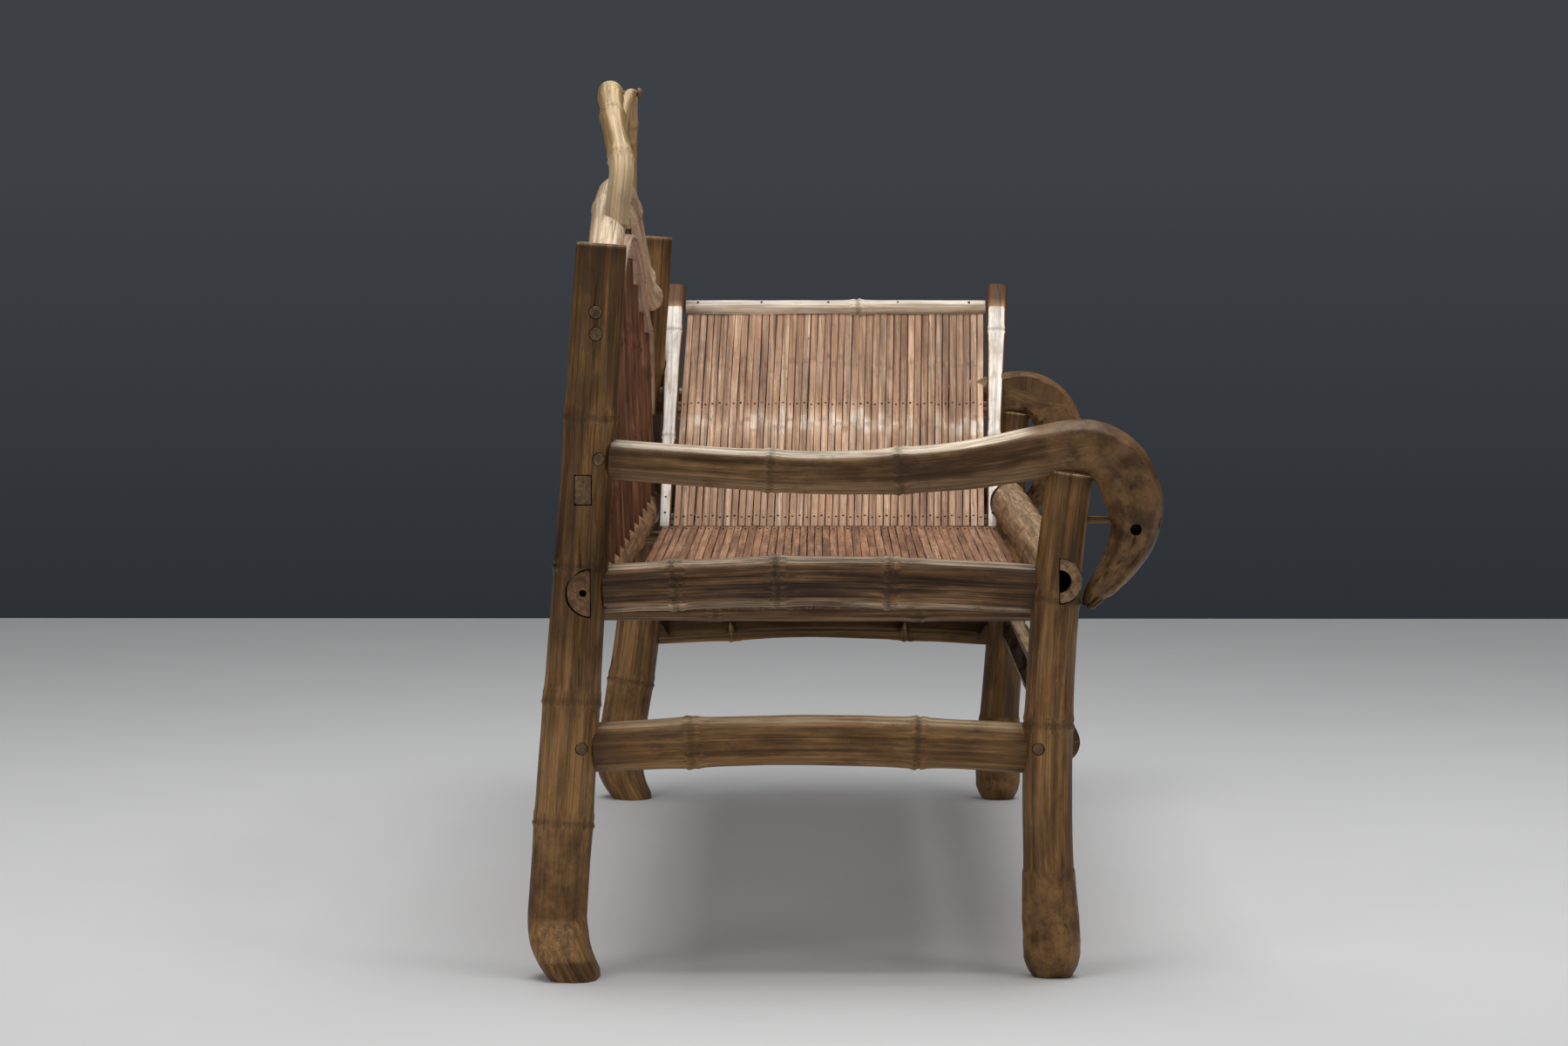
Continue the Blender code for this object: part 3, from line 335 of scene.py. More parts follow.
def closed(rings, round_off=0.0020):
    """Vertices and faces of a closed tube with softly rounded ends."""
    sides = rings.shape[1]

    def end(ring, following):
        centre = ring.mean(0)
        size = np.linalg.norm(ring - centre, axis=1).mean()
        inward = following.mean(0) - centre
        inward = inward / np.linalg.norm(inward)
        rim = centre + (ring - centre) * (1 - round_off / size)
        shoulder = centre + (ring - centre) * (1 - 0.3 * round_off / size) + inward * 0.3 * round_off
        return [centre + (rim - centre) * 0.45, rim, shoulder, ring + inward * round_off]

    layers = [*end(rings[0], rings[1]), *rings[1:-1], *end(rings[-1], rings[-2])[::-1]]
    verts = np.stack(layers).reshape(-1, 3)
    verts = np.vstack([verts, verts[:sides].mean(0), verts[-sides:].mean(0)])
    first, last, top = len(verts) - 2, len(verts) - 1, (len(layers) - 1) * sides
    fans = [[(s + 1) % sides, s, first] for s in range(sides)]
    fans += [[top + s, top + (s + 1) % sides, last] for s in range(sides)]
    return verts, quads(len(layers), sides) + fans


def add_object(name, verts, faces):
    mesh = bpy.data.meshes.new(name)
    mesh.from_pydata([tuple(v) for v in verts], [], [tuple(f) for f in faces])
    mesh.update()
    mesh.shade_smooth()
    made = bpy.data.objects.new(name, mesh)
    bpy.context.scene.collection.objects.link(made)
    return made


def vertex_rows(made, name):
    """A vector of each vertex, co or normal, one to a row."""
    values = np.zeros(len(made.data.vertices) * 3)
    made.data.vertices.foreach_get(name, values)
    return values.reshape(-1, 3)


def add_tone(made, change):
    """Makes a painted object paler, or darker where the change is negative."""
    values = made.data.attributes["tone"].data
    tone = np.zeros(len(values))
    values.foreach_get("value", tone)
    values.foreach_set("value", tone + change)


# Tones of a culm: plain skin, and how much paler its top is (rubbed, and a painted highlight), its underside
# (painted light bounced from the floor) and a sawn top are
PLAIN, RUBBED_AND_LIT, BOUNCE_LIT_UNDERSIDE, SAWN = 0.5, 0.32, 0.22, 0.85
END_SOOT = 0.02  # how far the dark of an end reaches


def paint(made, culm, depth_stain=True, soot=1.0, root=None, zones=None, pale=None):
    """Stores each vertex's place on the culm and its marks, for the materials.

    root, zones and pale are functions of the distance along the culm. root says how much bark there is,
    zones takes the place of the paler top (rubbed, and a painted highlight) and the underside's painted
    bounce light, and pale, a painted highlight, is added to the tone.
    """
    co = vertex_rows(made, "co")
    tree = KDTree(len(culm.path))
    for i, point in enumerate(culm.path):
        tree.insert(point, i)
    tree.balance()
    near = np.array([tree.find(point)[1] for point in co])
    offset = co - culm.path[near]
    along = culm.along[near] + np.einsum("ij,ij->i", offset, culm.tangent[near])
    x = np.einsum("ij,ij->i", offset, culm.across[near])
    y = np.einsum("ij,ij->i", offset, culm.up[near])
    place = np.stack([x, y, along + 3.1 * culm.seed], 1)
    node = np.zeros(len(co))
    for spot in culm.nodes:
        node = np.maximum(node, bell(along - spot, 0.003, 0.0055))
    from_end = np.minimum(along, culm.length - along)
    hollow_shade = np.zeros(len(co))
    # Painted shade: the walls of bores, hollows and mortises, more than 6 mm in from the skin, are darkened
    # through the cut attribute.
    if depth_stain:
        depth = culm.radius[near] - np.sqrt(x * x + y * y)
        hollow_shade = ramp(from_end, 0.002, 0.004) * ramp(depth, 0.0060, 0.003)
    ends = bell(from_end, 0, END_SOOT)
    upward = vertex_rows(made, "normal")[:, 2]
    level = np.abs(culm.tangent[near][:, 2]) < 0.75
    bark = np.zeros(len(co)) if root is None else root(along)
    # Painted highlight and painted bounce light: a level culm's top is paler, partly from real rubbing and
    # partly as light from above, and its underside is paler as light bounced up from the floor.
    worn_and_lit = RUBBED_AND_LIT * ramp(upward, 0.60, 0.20) * (1 - 0.85 * bark)
    tone = PLAIN + level * (worn_and_lit + BOUNCE_LIT_UNDERSIDE * ramp(-upward, 0.35, 0.25))
    if zones is not None:
        sawn = (upward > 0.8) & (along > culm.length - 0.006)
        tone = np.where(sawn, SAWN, PLAIN + zones(along))
        ends = np.where(sawn, 0.0, ends)
    if pale is not None:
        tone = tone + pale(along)
    store(made, place, node, hollow_shade, tone, soot * ends, bark)


def store(made, place, node, cut, tone, ends, root=0.0):
    attributes = made.data.attributes
    culm = attributes.new("culm", "FLOAT_VECTOR", "POINT")
    culm.data.foreach_set("vector", np.asarray(place, float).ravel())
    count = len(made.data.vertices)
    for name, values in (("node", node), ("cut", cut), ("tone", tone), ("ends", ends), ("root", root)):
        full = np.broadcast_to(np.asarray(values, float), (count,)).copy()
        attributes.new(name, "FLOAT", "POINT").data.foreach_set("value", full)


def carve(target, cutters):
    """Cuts the cutters out of an object for good and removes them."""
    for cutter in cutters:
        modifier = target.modifiers.new("cut", "BOOLEAN")
        modifier.operation = "DIFFERENCE"
        modifier.object = cutter
        modifier.solver = "EXACT"
    shape = target.evaluated_get(bpy.context.evaluated_depsgraph_get())
    mesh = bpy.data.meshes.new_from_object(shape)
    target.modifiers.clear()
    target.data = mesh
    mesh.shade_smooth()
    mesh.set_sharp_from_angle(angle=math.radians(38))
    for cutter in cutters:
        bpy.data.objects.remove(cutter)
    return target


def cutting_tube(name, stations, side=(1, 0, 0), sides=40, round_off=0.0003):
    """A smooth tube for cutting."""
    culm = Culm(np.array(stations), side)
    return add_object(name, *closed(skin(culm, sides, lump=0.0), round_off))


def rod(name, start, stop, radius, sides=28):
    """A plain bar for cutting, in the drawing frame."""
    return cutting_tube(name, straight(start, stop, radius, spacing=1.0), (0.31, 0.47, 0.83), sides, 0.0001)


def block(name, low, high):
    corners = np.array(low) + SHIFT, np.array(high) + SHIFT
    both = (0, 1)
    verts = [[corners[i][0], corners[j][1], corners[k][2]] for i in both for j in both for k in both]
    faces = [(0, 1, 3, 2), (4, 6, 7, 5), (0, 4, 5, 1), (2, 3, 7, 6), (0, 2, 6, 4), (1, 5, 7, 3)]
    return add_object(name, verts, faces)


def dress(made, material, slot, *nodes):
    """Material and body of a piece, and the CAD nodes that it stands for; slot is not used."""
    made.data.materials.clear()
    made.data.materials.append(material)
    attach(made, "root")
    if nodes:
        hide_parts(*nodes)
    return made


def piece(node, culm, rings, material, slot, round_off=0.0020, cutters=(), name=None, **marks):
    """A closed tube that is cut, painted and dressed, and stands for a CAD node."""
    made = add_object(name or node + "_skin", *closed(rings, round_off))
    if cutters:
        carve(made, cutters)
    paint(made, culm, **marks)
    return dress(made, material, slot, node)


# Materials


class Nodes:
    """Short calls for a material's node tree."""

    def __init__(self, name):
        self.material = bpy.data.materials.new(name)
        self.material.use_nodes = True
        self.tree = self.material.node_tree
        self.shader = self.tree.nodes["Principled BSDF"]

    def add(self, kind, **values):
        made = self.tree.nodes.new(kind)
        for key, value in values.items():
            setattr(made, key, value)
        return made

    def feed(self, socket, value):
        """Links a socket, or sets it where the value is a number or a colour."""
        if isinstance(value, tuple):
            socket.default_value = (*value, 1.0)
        elif isinstance(value, (int, float)):
            socket.default_value = value
        else:
            self.tree.links.new(value, socket)

    def attribute(self, name, output="Fac"):
        return self.add("ShaderNodeAttribute", attribute_name=name).outputs[output]

    def noise(self, vector, scale, detail=3.0, roughness=0.55, seed=0.0):
        """Noise over a vector that is stretched by a scale for each axis."""
        mapping = self.add("ShaderNodeMapping")
        mapping.inputs["Scale"].default_value = scale
        mapping.inputs["Location"].default_value = (seed, seed * 1.7, seed * 0.6)
        self.feed(mapping.inputs["Vector"], vector)
        made = self.add("ShaderNodeTexNoise")
        for socket, value in (("Scale", 1.0), ("Detail", detail), ("Roughness", roughness)):
            made.inputs[socket].default_value = value
        self.feed(made.inputs["Vector"], mapping.outputs["Vector"])
        return made.outputs["Fac"]

    def window(self, value, low, high, to_low=0.0, to_high=1.0):
        made = self.add("ShaderNodeMapRange", interpolation_type="SMOOTHSTEP")
        limits = ("From Min", low), ("From Max", high), ("To Min", to_low), ("To Max", to_high)
        for socket, limit in limits:
            made.inputs[socket].default_value = limit
        self.feed(made.inputs["Value"], value)
        return made.outputs["Result"]

    def math(self, operation, *values):
        made = self.add("ShaderNodeMath", operation=operation)
        for socket, value in zip(made.inputs, values):
            self.feed(socket, value)
        return made.outputs["Value"]

    def times(self, a, b):
        return self.math("MULTIPLY", a, b)

    def plus(self, a, b):
        return self.math("ADD", a, b)

    def minus(self, a, b):
        return self.math("SUBTRACT", a, b)

    def mix(self, share, a, b, blend="MIX"):
        made = self.add("ShaderNodeMix", data_type="RGBA", blend_type=blend)
        for index, value in ((0, share), (6, a), (7, b)):
            self.feed(made.inputs[index], value)
        return made.outputs[2]

    def shade(self, colour, value):
        """A colour times a value."""
        grey = self.mix(1.0, (1.0, 1.0, 1.0), value, "MULTIPLY")
        return self.mix(1.0, colour, grey, "MULTIPLY")

    def finish(self, **values):
        """Sets or links the shader's sockets, named with underscores for spaces, and gives the material."""
        for name, value in values.items():
            self.feed(self.shader.inputs[name.replace("_", " ")], value)
        return self.material


def linear(colour):
    """A colour read from the photograph, 0 to 255, as linear values."""
    return tuple(((c / 255 + 0.055) / 1.055) ** 2.4 if c > 10 else c / 3294.6 for c in colour)


def bamboo(
    name, dark, middle, light, stain, node_mark=0.42, fibre=0.5, blotch=0.5, crack=0.6, gloss=0.46, worn_and_lit=None
):
    """Aged bamboo skin: long fibres, blotches, dark nodes, cracks, dark sawn ends, painted shade in hollows,
    and a pale top that is partly worn and partly a painted highlight.
    """
    n = Nodes(name)
    place = n.attribute("culm", "Vector")
    node, cut, tone, ends, root = (n.attribute(mark) for mark in ("node", "cut", "tone", "ends", "root"))
    black = linear((26, 18, 11))
    broad = n.noise(place, (16, 16, 5), 4.0, 0.6)
    patch = n.noise(place, (70, 70, 16), 4.0, 0.65, 3.1)
    bands = n.noise(place, (170, 170, 3.2), 4.0, 0.65, 4.4)
    fibres = n.noise(place, (650, 650, 7), 4.0, 0.6, 7.7)
    fine = n.noise(place, (2600, 2600, 40), 2.0, 0.5, 1.3)
    pores = n.noise(place, (900, 900, 220), 2.0, 0.6, 5.9)
    split = n.noise(place, (60, 60, 1.6), 2.0, 0.4, 9.4)
    mottle = n.noise(place, (34, 34, 34), 8.0, 0.68, 2.2)
    dirt = n.noise(place, (28, 28, 20), 5.0, 0.7, 13.2)
    scarred = n.noise(place, (170, 170, 320), 3.0, 0.6, 8.1)

    # Skin, with its rubbed top, painted highlights and painted bounce light from the tone
    level = n.plus(n.times(broad, 0.75), n.times(patch, 0.25 + 0.35 * blotch))
    level = n.plus(level, n.times(n.minus(tone, PLAIN), 0.9))
    colour = n.mix(n.window(level, 0.36, 0.56), linear(dark), linear(middle))
    colour = n.mix(n.window(level, 0.55, 0.86), colour, linear(light))
    # Where the tone is high the pale colour takes over: real wear together with painted highlights and
    # painted bounce light.
    rub_and_light = n.times(n.window(tone, 0.70, 0.80), n.window(patch, 0.30, 0.55, 0.45, 1.0))
    colour = n.mix(rub_and_light, colour, linear(worn_and_lit or light))

    # Fibres
    colour = n.shade(colour, n.window(bands, 0.34, 0.66, 1 - 0.85 * fibre, 1 + 0.55 * fibre))
    colour = n.shade(colour, n.window(fibres, 0.30, 0.72, 1 - 0.75 * fibre, 1 + 0.35 * fibre))
    colour = n.shade(colour, n.window(fine, 0.35, 0.65, 1 - 0.25 * fibre, 1 + 0.12 * fibre))

    # Root bark
    earthy = tuple((3 * a + b) / 4 for a, b in zip(dark, middle))
    dusty = tuple((a + 5 * b) / 6 for a, b in zip(middle, light))
    scars = n.window(scarred, 0.60, 0.72, 0.0, 0.7)
    bark = n.mix(n.window(mottle, 0.34, 0.66), linear(earthy), linear(dusty))
    colour = n.mix(n.times(root, 0.78), colour, n.mix(scars, bark, linear(stain)))

    # Stains, cracks, and painted shade in hollows and bores
    specks = n.window(pores, 0.66, 0.74, 0.0, 0.55)
    smudge = n.window(dirt, 0.54, 0.74, 0.0, 0.55 * blotch)
    ring = n.times(n.window(node, 0.30, 0.98), n.window(patch, 0.25, 0.6, 0.35, 1.0))
    sooty = n.times(ends, n.window(patch, 0.3, 0.7, 0.1, 0.8))
    for share in (specks, smudge, n.times(ring, node_mark), sooty):
        colour = n.mix(share, colour, linear(stain))
    gap = n.math("ABSOLUTE", n.minus(split, 0.5))
    line = n.times(n.times(n.window(gap, 0.0, 0.006, 1.0, 0.0), n.window(broad, 0.42, 0.60)), crack)
    # The cut attribute is painted shade: it darkens hollows and bores towards black.
    for share in (line, n.times(cut, 0.92)):
        colour = n.mix(share, colour, black)

    # Gloss and relief
    shine = n.window(fibres, 0.25, 0.75, gloss + 0.12, gloss - 0.06)
    height = n.plus(n.plus(n.times(fibres, 0.55), n.times(fine, 0.2)), n.times(patch, 0.6))
    height = n.minus(n.minus(height, n.times(line, 0.9)), n.times(specks, 0.5))
    height = n.plus(height, n.times(root, n.minus(n.times(mottle, 1.6), scars)))
    relief = n.add("ShaderNodeBump")
    for socket, value in (("Strength", 0.35), ("Distance", 0.0016), ("Height", height)):
        n.feed(relief.inputs[socket], value)
    return n.finish(
        Base_Color=colour,
        Roughness=n.plus(shine, n.times(smudge, 0.3)),
        Normal=relief.outputs["Normal"],
        Specular_IOR_Level=0.28,
    )


# Dark, middle, light and stain of each kind of bamboo
STAIN = (42, 25, 12)
POST = bamboo(
    "aged_post", (60, 37, 13), (95, 65, 31), (144, 107, 64), STAIN, blotch=0.9, worn_and_lit=(190, 163, 128)
)
ARM = bamboo(
    "aged_arm", (50, 31, 13), (79, 53, 27), (132, 99, 62), STAIN, fibre=0.52, blotch=0.9, worn_and_lit=(216, 199, 176)
)
RAIL = bamboo(
    "aged_rail", (58, 36, 18), (86, 58, 32), (132, 99, 65), STAIN,
    fibre=0.85, blotch=0.9, crack=0.9, worn_and_lit=(190, 166, 138),
)
HONEY = bamboo(
    "honey_culm", (88, 62, 38), (122, 92, 62), (158, 126, 92), (58, 37, 21), blotch=0.8, worn_and_lit=(164, 134, 102)
)
TOP = bamboo(
    "top_culm", (142, 110, 82), (186, 154, 122), (220, 196, 167), (82, 55, 36), fibre=0.4, blotch=0.7
)
CREST = bamboo(
    "crest_culm", (122, 92, 52), (152, 121, 79), (186, 158, 116), (92, 62, 33),
    fibre=0.40, blotch=0.6, worn_and_lit=(198, 174, 136),
)
SLAT = bamboo(
    "split_slat", (132, 95, 70), (166, 128, 100), (204, 170, 142), (80, 51, 36),
    node_mark=0.3, fibre=0.48, blotch=0.6, gloss=0.36, worn_and_lit=(226, 206, 188),
)
SEAT = bamboo(
    "seat_slat", (120, 81, 58), (154, 111, 84), (190, 149, 119), (66, 40, 27),
    node_mark=0.3, blotch=0.6, gloss=0.40,
)
STILE = bamboo(
    "worn_and_lit_stile", (98, 66, 41), (130, 94, 62), (166, 130, 96), (76, 50, 32),
    fibre=0.30, blotch=0.4, worn_and_lit=(236, 228, 219),
)
CAP = bamboo("cap_strip", (164, 134, 106), (208, 185, 161), (236, 226, 212), (102, 72, 50), fibre=0.4)
POLE = bamboo("red_pole", (70, 41, 25), (104, 65, 42), (148, 103, 73), (40, 23, 14), fibre=0.55, blotch=0.7)
WARM = bamboo("warm_rail", (80, 55, 33), (114, 82, 53), (152, 114, 80), (50, 32, 19), blotch=0.7)
STRIP = bamboo("bent_strip", (128, 96, 74), (166, 133, 108), (204, 177, 154), (74, 48, 34), fibre=0.4)
PEG = bamboo(
    "peg_grain", (88, 65, 42), (122, 96, 67), (158, 132, 101), STAIN,
    node_mark=0.0, blotch=0.7, crack=0.3, gloss=0.6,
)


def nail_metal():
    n = Nodes("dark_nail")
    rust = n.noise(n.add("ShaderNodeTexCoord").outputs["Object"], (900, 900, 900))
    colour = n.mix(n.window(rust, 0.35, 0.65), linear((38, 30, 26)), linear((86, 58, 40)))
    return n.finish(Base_Color=colour, Metallic=0.6, Roughness=0.6)


NAIL = nail_metal()


# Posts


def outward(side):
    """The angle, in degrees, of the outer face of an end frame's sections."""
    return 180 if side < 0 else 0


def post_heights(foot, bend, fine, top):
    """Heights of a post's stations, closer together below a bend."""
    return np.concatenate([np.arange(foot, bend, fine), np.arange(bend, top, 0.004), [top]])


def floor_block():
    return block("floor", (-2, -1, -0.2), (2, 1, 0))


def d_mortise(y, z, radius, outer):
    """Cutter for a long rail's D-shaped mortises, whose round half lies on the outer side of Y."""
    hole = rod("rail_mortise", (-PAST_ENDS, y, z), (PAST_ENDS, y, z), radius, 40)
    ys = sorted((y - outer * MORTISE_GAP, y - outer * 0.1))
    return carve(hole, [block("half", (-1.2, ys[0], 0.3), (1.2, ys[1], 0.6))])


def peg_spots(side):
    """Place and radius of each peg in an end frame's posts, as {label: (y, z, radius, post radius)}."""
    spots = {}
    for label, z, axis, radius, inward in (
        ("arm_peg", ARM_Z, rear_y, rear_radius, -1),
        ("rear_stretcher_peg", STRETCHER_Z, rear_y, rear_radius, -1),
        ("front_stretcher_peg", STRETCHER_Z, front_y, front_radius, 1),
    ):
        spots[label] = (axis(side, z) + inward * (radius(z) - PEG_INSET), z, PEG_RADIUS, radius(z))
    for label, sign in (("upper_dowel", 1), ("lower_dowel", -1)):
        z = TOP_RAIL_Z + sign * DOWEL_SPACING / 2
        spots[label] = (top_rail_y(END_X), z, DOWEL_RADIUS, rear_radius(z))
    return spots


def peg_gaps(side, *labels):
    """Cutters that leave a dark gap round pegs."""
    cutters = []
    for label in labels:
        y, z, radius, post = peg_spots(side)[label]
        face = side * (END_X + post)
        start, stop = (face + side * 0.02, y, z), (face - side * 0.016, y, z)
        cutters.append(rod("gap", start, stop, radius + PEG_GAP))
    return cutters


def crack(side, points):
    """Cutter for a crack down a rear post's end face, through (y, z, width) points."""
    stations = [(side * (END_X + 0.86 * rear_radius(z)), y, z, 0.8 * width) for y, z, width in points]
    return cutting_tube("crack", smooth(stations, 0.004), sides=10, round_off=0.0001)


def rear_cracks(side):
    """A crack through the dowels and one beside the seat."""
    dowel_y = top_rail_y(END_X)
    upper = (
        (dowel_y - 0.004, 0.815, 0.0006),
        (dowel_y + 0.001, 0.775, 0.0016),
        (dowel_y, 0.754, 0.0026),
        (dowel_y + 0.003, 0.730, 0.0018),
        (dowel_y + 0.001, 0.690, 0.0006),
    )
    seat_y = rear_y(side, 0.41) - 0.004
    lower = (
        (seat_y, 0.520, 0.0008),
        (seat_y - 0.002, 0.46, 0.0022),
        (seat_y + 0.001, 0.40, 0.0020),
        (seat_y, 0.33, 0.0006),
    )
    return [crack(side, upper), crack(side, lower)]


def rub_instep(post, side):
    """Pale wear on a rear foot's instep and dark stain on the toe's end face."""
    co = vertex_rows(post, "co") - SHIFT
    outer = ramp(side * co[:, 0] - END_X, 0.018, 0.006)
    slope = ramp(co[:, 2], 0.070, -0.003) * ramp(co[:, 2], 0.023, 0.003)
    toe = ramp(co[:, 2], 0.024, -0.003)
    add_tone(post, outer * (INSTEP_RUB * slope - TOE_STAIN * toe))


def rear_post(end_name, side):
    heights = post_heights(-0.03, 0.10, 0.003, REAR_HEIGHT)
    stations = np.array([(side * END_X, rear_y(side, z), z, rear_radius(z)) for z in heights])
    culm = Culm(stations, (1, 0, 0), (0.240, 0.400, 0.575, 0.77), 0.0018, 1.3 + side)
    sides = 56

    def hoof(along, angles):
        """A toe to the front, with the heel cut away."""
        z = np.interp(along, culm.along, culm.path[:, 2])
        low = np.clip((HOOF_HEIGHT - z) / HOOF_HEIGHT, 0, 1.4)
        heel = HEEL_CUT * low ** 1.2 * np.clip(np.sin(angles), 0, 1) ** 1.5
        toe = TOE_CUT * low * np.clip(-np.sin(angles), 0, 1)
        return -heel - toe

    def bark(along):
        return 0.7 * ramp(along, 0.208, -0.010) - 0.6 * ramp(along, 0.100, -0.004)

    def stain(along):
        """Darker above the seat, paler under it, as the photograph shows."""
        spots = (0.0, 0.10, 0.21, 0.28, 0.39, 0.45, 0.53, 0.63, 0.875)
        return np.interp(along, spots, (0.06, 0.0, 0.02, 0.12, 0.06, -0.10, -0.20, -0.08, -0.08))

    flats = ((outward(side), 0.86), (outward(side) - 52 * side, 0.93))
    rings = skin(culm, sides, flats=flats, lump=0.0014, grow=hoof)
    instep = ramp(stations[:, 2], INSTEP_TOP, -INSTEP_HEIGHT)
    outer = np.clip(2.2 * side * np.cos(full_turn(sides)), 0, 1)
    rings[:, :, 0] += side * INSTEP_REACH * instep[:, None] * outer[None]
    wide, tall = LOWER_TENON_WIDTH / 2 + 0.0011, LOWER_TENON_HEIGHT / 2 + 0.0012
    low = (-PAST_ENDS, LOWER_RAIL_Y - wide, LOWER_RAIL_Z - tall)
    high = (PAST_ENDS, LOWER_RAIL_Y + wide, LOWER_RAIL_Z + tall)
    cutters = [floor_block(), block("lower_mortise", low, high)]
    cutters.append(d_mortise(REAR_RAIL_Y, REAR_RAIL_Z, REAR_RAIL_RADIUS + REAR_MORTISE_GAP, 1))
    cutters += peg_gaps(side, "arm_peg", "rear_stretcher_peg", "upper_dowel", "lower_dowel")
    cutters += rear_cracks(side)
    node = f"{end_name}_rear_post"
    post = piece(node, culm, rings, POST, "aged_culm", cutters=cutters, root=bark, zones=stain)
    rub_instep(post, side)


def front_post(end_name, side):
    heights = post_heights(-0.006, 0.13, 0.0033, FRONT_HEIGHT)
    stations = np.array([(side * END_X, front_y(side, z), z, front_radius(z)) for z in heights])
    culm = Culm(stations, (1, 0, 0), (0.50, 0.745), 0.0016, 5.2 + side)

    def root(along, angles):
        """The knobbly root foot: lumps under a low sheath edge and a rounded sole."""
        lumps = ROOT_LUMP * over_skin(rough, along, angles, 1.6, 34, 3.3)
        sole = SOLE_CUT * np.clip((SOLE_HEIGHT - along) / SOLE_HEIGHT, 0, 1.1) ** 2
        sheath = SHEATH_EDGE * ramp(along, SHEATH_TOP, -0.004)
        return lumps * ramp(along, ROOT_TOP, -ROOT_TOP) ** 0.5 - sole + sheath

    def bark(along):
        return ramp(along, 0.134, -0.006)

    def stain(along):
        return np.interp(along, (0.0, 0.13, 0.30, 0.42, 0.59), (0.04, -0.06, -0.04, 0.02, 0.06))

    rings = skin(culm, 56, flats=((outward(side), 0.94),), lump=0.0013, grow=root)
    mortise = d_mortise(FRONT_RAIL_Y, FRONT_RAIL_Z, FRONT_RAIL_RADIUS + MORTISE_GAP, -1)
    cutters = [floor_block(), mortise, *peg_gaps(side, "front_stretcher_peg")]
    piece(f"{end_name}_front_post", culm, rings, POST, "aged_culm", cutters=cutters, root=bark, zones=stain)


# Arms

# Depth, height and radius from the front post's top to the scroll's tip, in scroll radii
SCROLL = (
    (0.99, 0.23, 0.90),
    (0.00, 0.38, 0.94),
    (-0.87, 0.30, 0.96),
    (-1.63, -0.27, 1.00),
    (-2.06, -1.23, 1.00),
    (-2.14, -1.96, 0.90),
    (-2.00, -2.66, 0.79),
    (-1.66, -3.32, 0.67),
    (-1.21, -3.94, 0.54),
    (-0.79, -4.42, 0.40),
    (-0.52, -4.82, 0.22),
)
PIN_STATION = SCROLL[5]  # where the pin meets the scroll


def arm_stations(side):
    tail = rear_y(side, ARM_Z) - rear_radius(ARM_Z) + DEEP_SEATING
    neck = front_y(side, FRONT_HEIGHT)
    x = side * END_X
    points = [(x, tail, ARM_Z, ARM_RADIUS)]
    for share, dip, swell in ((0.295, 0.75, 1.00), (0.507, 1.00, 1.06), (0.752, 0.50, 1.18)):
        points.append((x, tail + (neck - tail) * share, ARM_Z - dip * ARM_DIP, swell * ARM_RADIUS))
    for depth, height, size in SCROLL:
        spot = (neck + depth * SCROLL_RADIUS, ARM_Z + height * SCROLL_RADIUS)
        points.append((x, *spot, size * SCROLL_RADIUS))
    return smooth(points, 0.0035)


def arm(end_name, side):
    culm = Culm(arm_stations(side), (1, 0, 0), (0.235, 0.425), 0.0018, 9.1 + side)
    neck = front_y(side, FRONT_HEIGHT)

    def root(along, angles):
        """Root scars: pits towards the scroll."""
        pits = ramp(over_skin(value_noise, along, angles, 4.2, 95, 7.9 + side), 0.62, 0.25) ** 1.5
        return -PIT_DEPTH * pits * ramp(along, 0.50, 0.12)

    def bark(along):
        return ramp(along, 0.47, 0.07)

    flats = ((90, 0.92), (90 - 26 * side, 0.93), (0, 0.90), (180, 0.90), (outward(side) - 48 * side, 0.92))
    rings = skin(culm, 64, flats=flats, lump=0.0014, grow=root)
    heights = np.arange(0.36, FRONT_HEIGHT + 0.001, 0.01)
    post = [(side * END_X, front_y(side, z), z, front_radius(z) + 0.0008) for z in heights]
    hole_y, hole_z = neck - SCROLL_HOLE_Y, SCROLL_HOLE_Z
    start, stop = (side * (END_X + 0.08), hole_y, hole_z), (side * (END_X + 0.008), hole_y, hole_z)
    hole = rod("peg_hole", start, stop, SCROLL_HOLE_RADIUS)
    face = sorted((side * (END_X - SCROLL_FACE), side * (END_X - 0.12)))
    sawn = block("sawn", (face[0], neck - 0.2, 0.3), (face[1], neck + 0.03, 0.8))
    cutters = [cutting_tube("notch", post), hole, sawn]
    piece(f"{end_name}_arm", culm, rings, ARM, "aged_culm", cutters=cutters, root=bark)


# Split culms of the end frames and the front


